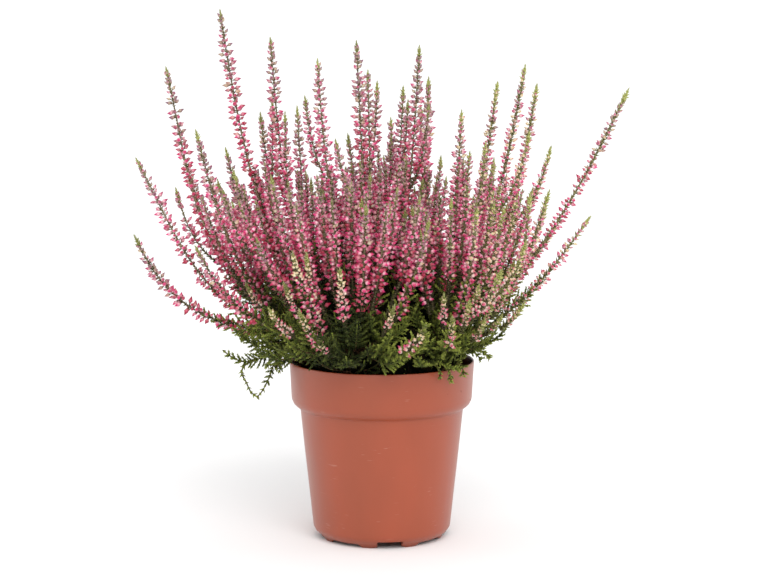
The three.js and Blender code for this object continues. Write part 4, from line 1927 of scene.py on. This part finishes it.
@dataclass
class CompostBed:
    """The compost, uneven at its surface, with a number of crumbs on each square decimetre."""

    finish: bpy.types.Material
    edge: float = 57.9
    edge_height: float = 103.0
    middle_height: float = 107.0
    rings: int = 26
    around: int = 72
    skirt: tuple[tuple[float, float], ...] = ((57.2, 91.4), (51.4, 84.0), (43.0, 7.8), (37.0, 6.8))
    crumbs: float = 550.0
    crumbs_above: float = 100.0

    def surface(self) -> bpy.types.Object:
        """Makes the uneven bed with a skirt that goes down inside the pot.

        Returns:
            The bed as an object, before its crumbs.
        """
        draw = np.random.default_rng(5)
        phases = draw.uniform(0, math.tau, 6)
        points: list[Point] = [(0, 0, self.middle_height)]
        for share in np.arange(1, self.rings + 1) / self.rings:
            for x, y, _ in ring(self.edge * share, 0, self.around):
                swell = sum(
                    math.sin(x * (0.11 + 0.06 * i) + phases[i])
                    * math.cos(y * (0.13 + 0.05 * i) + phases[5 - i])
                    for i in range(5)
                )
                z = self.middle_height + (self.edge_height - self.middle_height) * share**2
                z += 0.45 * swell * (1 - share**6) + draw.uniform(-0.3, 0.3)
                points.append((x, y, z))
        for radius, z in self.skirt:
            points += ring(radius, z, self.around)
        faces: list[Face] = [(0, 1 + k, 1 + (k + 1) % self.around) for k in range(self.around)]
        faces += bands(1, self.rings + len(self.skirt), self.around, downward=True)
        faces.append(tuple(reversed(range(len(points) - self.around, len(points)))))
        return linked("bed", faced("bed", points, faces))

    def tree(self) -> bpy.types.NodeTree:
        """Builds the tree that strews crumbs over the bed.

        Returns:
            The tree, with the crumb and their number as inputs.
        """
        sheet = GrowthSheet("crumbled_bed")
        crumb = sheet.template("Crumb")
        density = sheet.number("Crumbs", self.crumbs)
        source = sheet.inputs.outputs["Geometry"]
        place = sheet.add("GeometryNodeInputPosition").outputs[0]
        height = sheet.add("ShaderNodeSeparateXYZ", {0: place}).outputs[2]
        inputs = {
            "Mesh": source,
            "Density": sheet.math("MULTIPLY", density, DECIMETRES),
            "Selection": sheet.math("GREATER_THAN", height, self.crumbs_above * MM),
            "Seed": 3,
        }
        points = sheet.add("GeometryNodeDistributePointsOnFaces", inputs).outputs[0]
        angles = {0: (0, 0, 0), 1: (6, 6, 6), "Seed": 4}
        spin = sheet.add("FunctionNodeRandomValue", angles, data_type="FLOAT_VECTOR").outputs[0]
        inputs = {
            "Points": points,
            "Instance": crumb,
            "Rotation": spin,
            "Scale": sheet.random(0.35, 1.5, 6),
        }
        crumbs = sheet.add("GeometryNodeInstanceOnPoints", inputs).outputs[0]
        smooth = sheet.add("GeometryNodeSetShadeSmooth", {"Geometry": source}).outputs[0]
        return sheet.close(sheet.finished(smooth, self.finish), sheet.finished(crumbs, self.finish))

    def build(self) -> bpy.types.Object:
        """Grows the bed and lets it stand for the part's own.

        Returns:
            The piece.
        """
        rings = [(-1.1, 0, 0, 0), (-0.5, 1.1, 0.7, 0), (0.6, 0.8, 0.9, 0), (1.2, 0, 0, 0)]
        crumb = drawn_template("crumb", rings, 5)
        mesh = grown(self.surface(), self.tree(), {"Crumb": crumb})
        piece = put("compost_bed", mesh)
        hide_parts("compost")
        return piece


class Side(Enum):
    """Where a studio light stands."""

    LEFT = "left_panel"
    RIGHT = "right_panel"


@dataclass
class Studio:
    """A pale floor, soft lights and a camera, whose places are in metres."""

    camera_place: Point = (0.00276, -1.6, 0.38)
    camera_down: float = 7.765
    lens: float = 116.5
    reach: float = 200.0
    floor: float = 60000.0
    sky: float = 1.0
    key: float = 1.7
    key_spread: float = 40.0
    key_place: Point = (0.3, -1.5, 1.5)
    panel: float = 1.0
    panel_size: tuple[float, float] = (0.5, 0.9)
    panel_places: tuple[tuple[Side, Point], ...] = (
        (Side.LEFT, (-1.1, 0.1, 0.4)),
        (Side.RIGHT, (1.1, 0.1, 0.4)),
    )
    aim: Point = (0.0, 0.0, 0.15)

    def build(self) -> None:
        """Sets the floor, the lights and the camera."""
        bpy.context.scene.view_settings.view_transform = "Standard"
        self.lay_floor()
        self.light()
        data = bpy.data.cameras.new("camera")
        data.lens = self.lens
        data.clip_end = self.reach
        camera = linked("camera", data)
        camera.location = self.camera_place
        camera.rotation_euler = (math.radians(90 - self.camera_down), 0, 0)
        bpy.context.scene.camera = camera

    def lay_floor(self) -> None:
        """Lays the pale floor."""
        far = self.floor
        corners = [(-far, -far, 0), (far, -far, 0), (far, far, 0), (-far, far, 0)]
        paper = StudioPaper("studio_paper").material()
        floor = linked("floor", faced("floor", corners, [(0, 1, 2, 3)], paper))
        floor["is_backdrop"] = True

    def light(self) -> None:
        """Lights the plant from all round, with a soft key above and a panel at each side."""
        world = bpy.data.worlds.new("studio")
        world.use_nodes = True
        background = world.node_tree.nodes["Background"]
        background.inputs["Color"].default_value = (1.0, 1.0, 1.0, 1.0)
        background.inputs["Strength"].default_value = self.sky
        bpy.context.scene.world = world
        sun = bpy.data.lights.new("key", "SUN")
        sun.energy = self.key
        sun.angle = math.radians(self.key_spread)
        self.aimed(sun, self.key_place)
        for side, place in self.panel_places:
            panel = bpy.data.lights.new(side.value, "AREA")
            panel.shape = "RECTANGLE"
            panel.size, panel.size_y = self.panel_size
            panel.energy = self.panel
            self.aimed(panel, place)

    def aimed(self, light: bpy.types.Light, place: Point) -> None:
        """Stands a light in its place and aims it at the plant.

        Args:
            light: The light.
            place: Where it stands, in metres.
        """
        lamp = linked(light.name, light)
        lamp.location = place
        way = Vector(self.aim) - Vector(place)
        lamp.rotation_euler = way.to_track_quat("-Z", "Y").to_euler()


def write_sizes() -> None:
    """Works out the part's box and the dressed model's box, as plain numbers in metres, but neither
    writes nor returns them.
    """
    boxes = {"cad": CAD_BOX, "visual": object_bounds()}
    {name: [list(low), list(high)] for name, (low, high) in boxes.items()}


def main() -> None:
    """Builds the scene piece by piece."""
    logging.basicConfig(level=logging.INFO, format="%(name)s %(message)s")
    Studio().build()
    NurseryPot(PotPlastic("terracotta_plastic").material()).build()
    CompostBed(Peat("peat_compost").material()).build()
    Undergrowth(ThatchAndShade("heather_thatch").material()).build()
    bark = Bark("heather_bark").material()
    stem = Bark("heather_stem", colour("6c5846"), colour("9a8666"), colour("92946c")).material()
    green = ScaleLeaf("heather_leaf").material()
    bracts = ScaleLeaf("heather_bract", colour("444126"), colour("7c7956"), colour("acb066"))
    petal = BudPetal("heather_bud").material()
    bud, leaf = bud_template(), leaf_template()
    leafy, budded = leafy_tree(bark, green), spike_tree(stem, petal, bracts.material())
    for clump in CLUMPS:
        LeafyClump(clump, leaf, leafy).build()
        FlowerSpikes(clump, bud, leaf, budded).build()
    write_sizes()


if __name__ == "__main__":
    main()
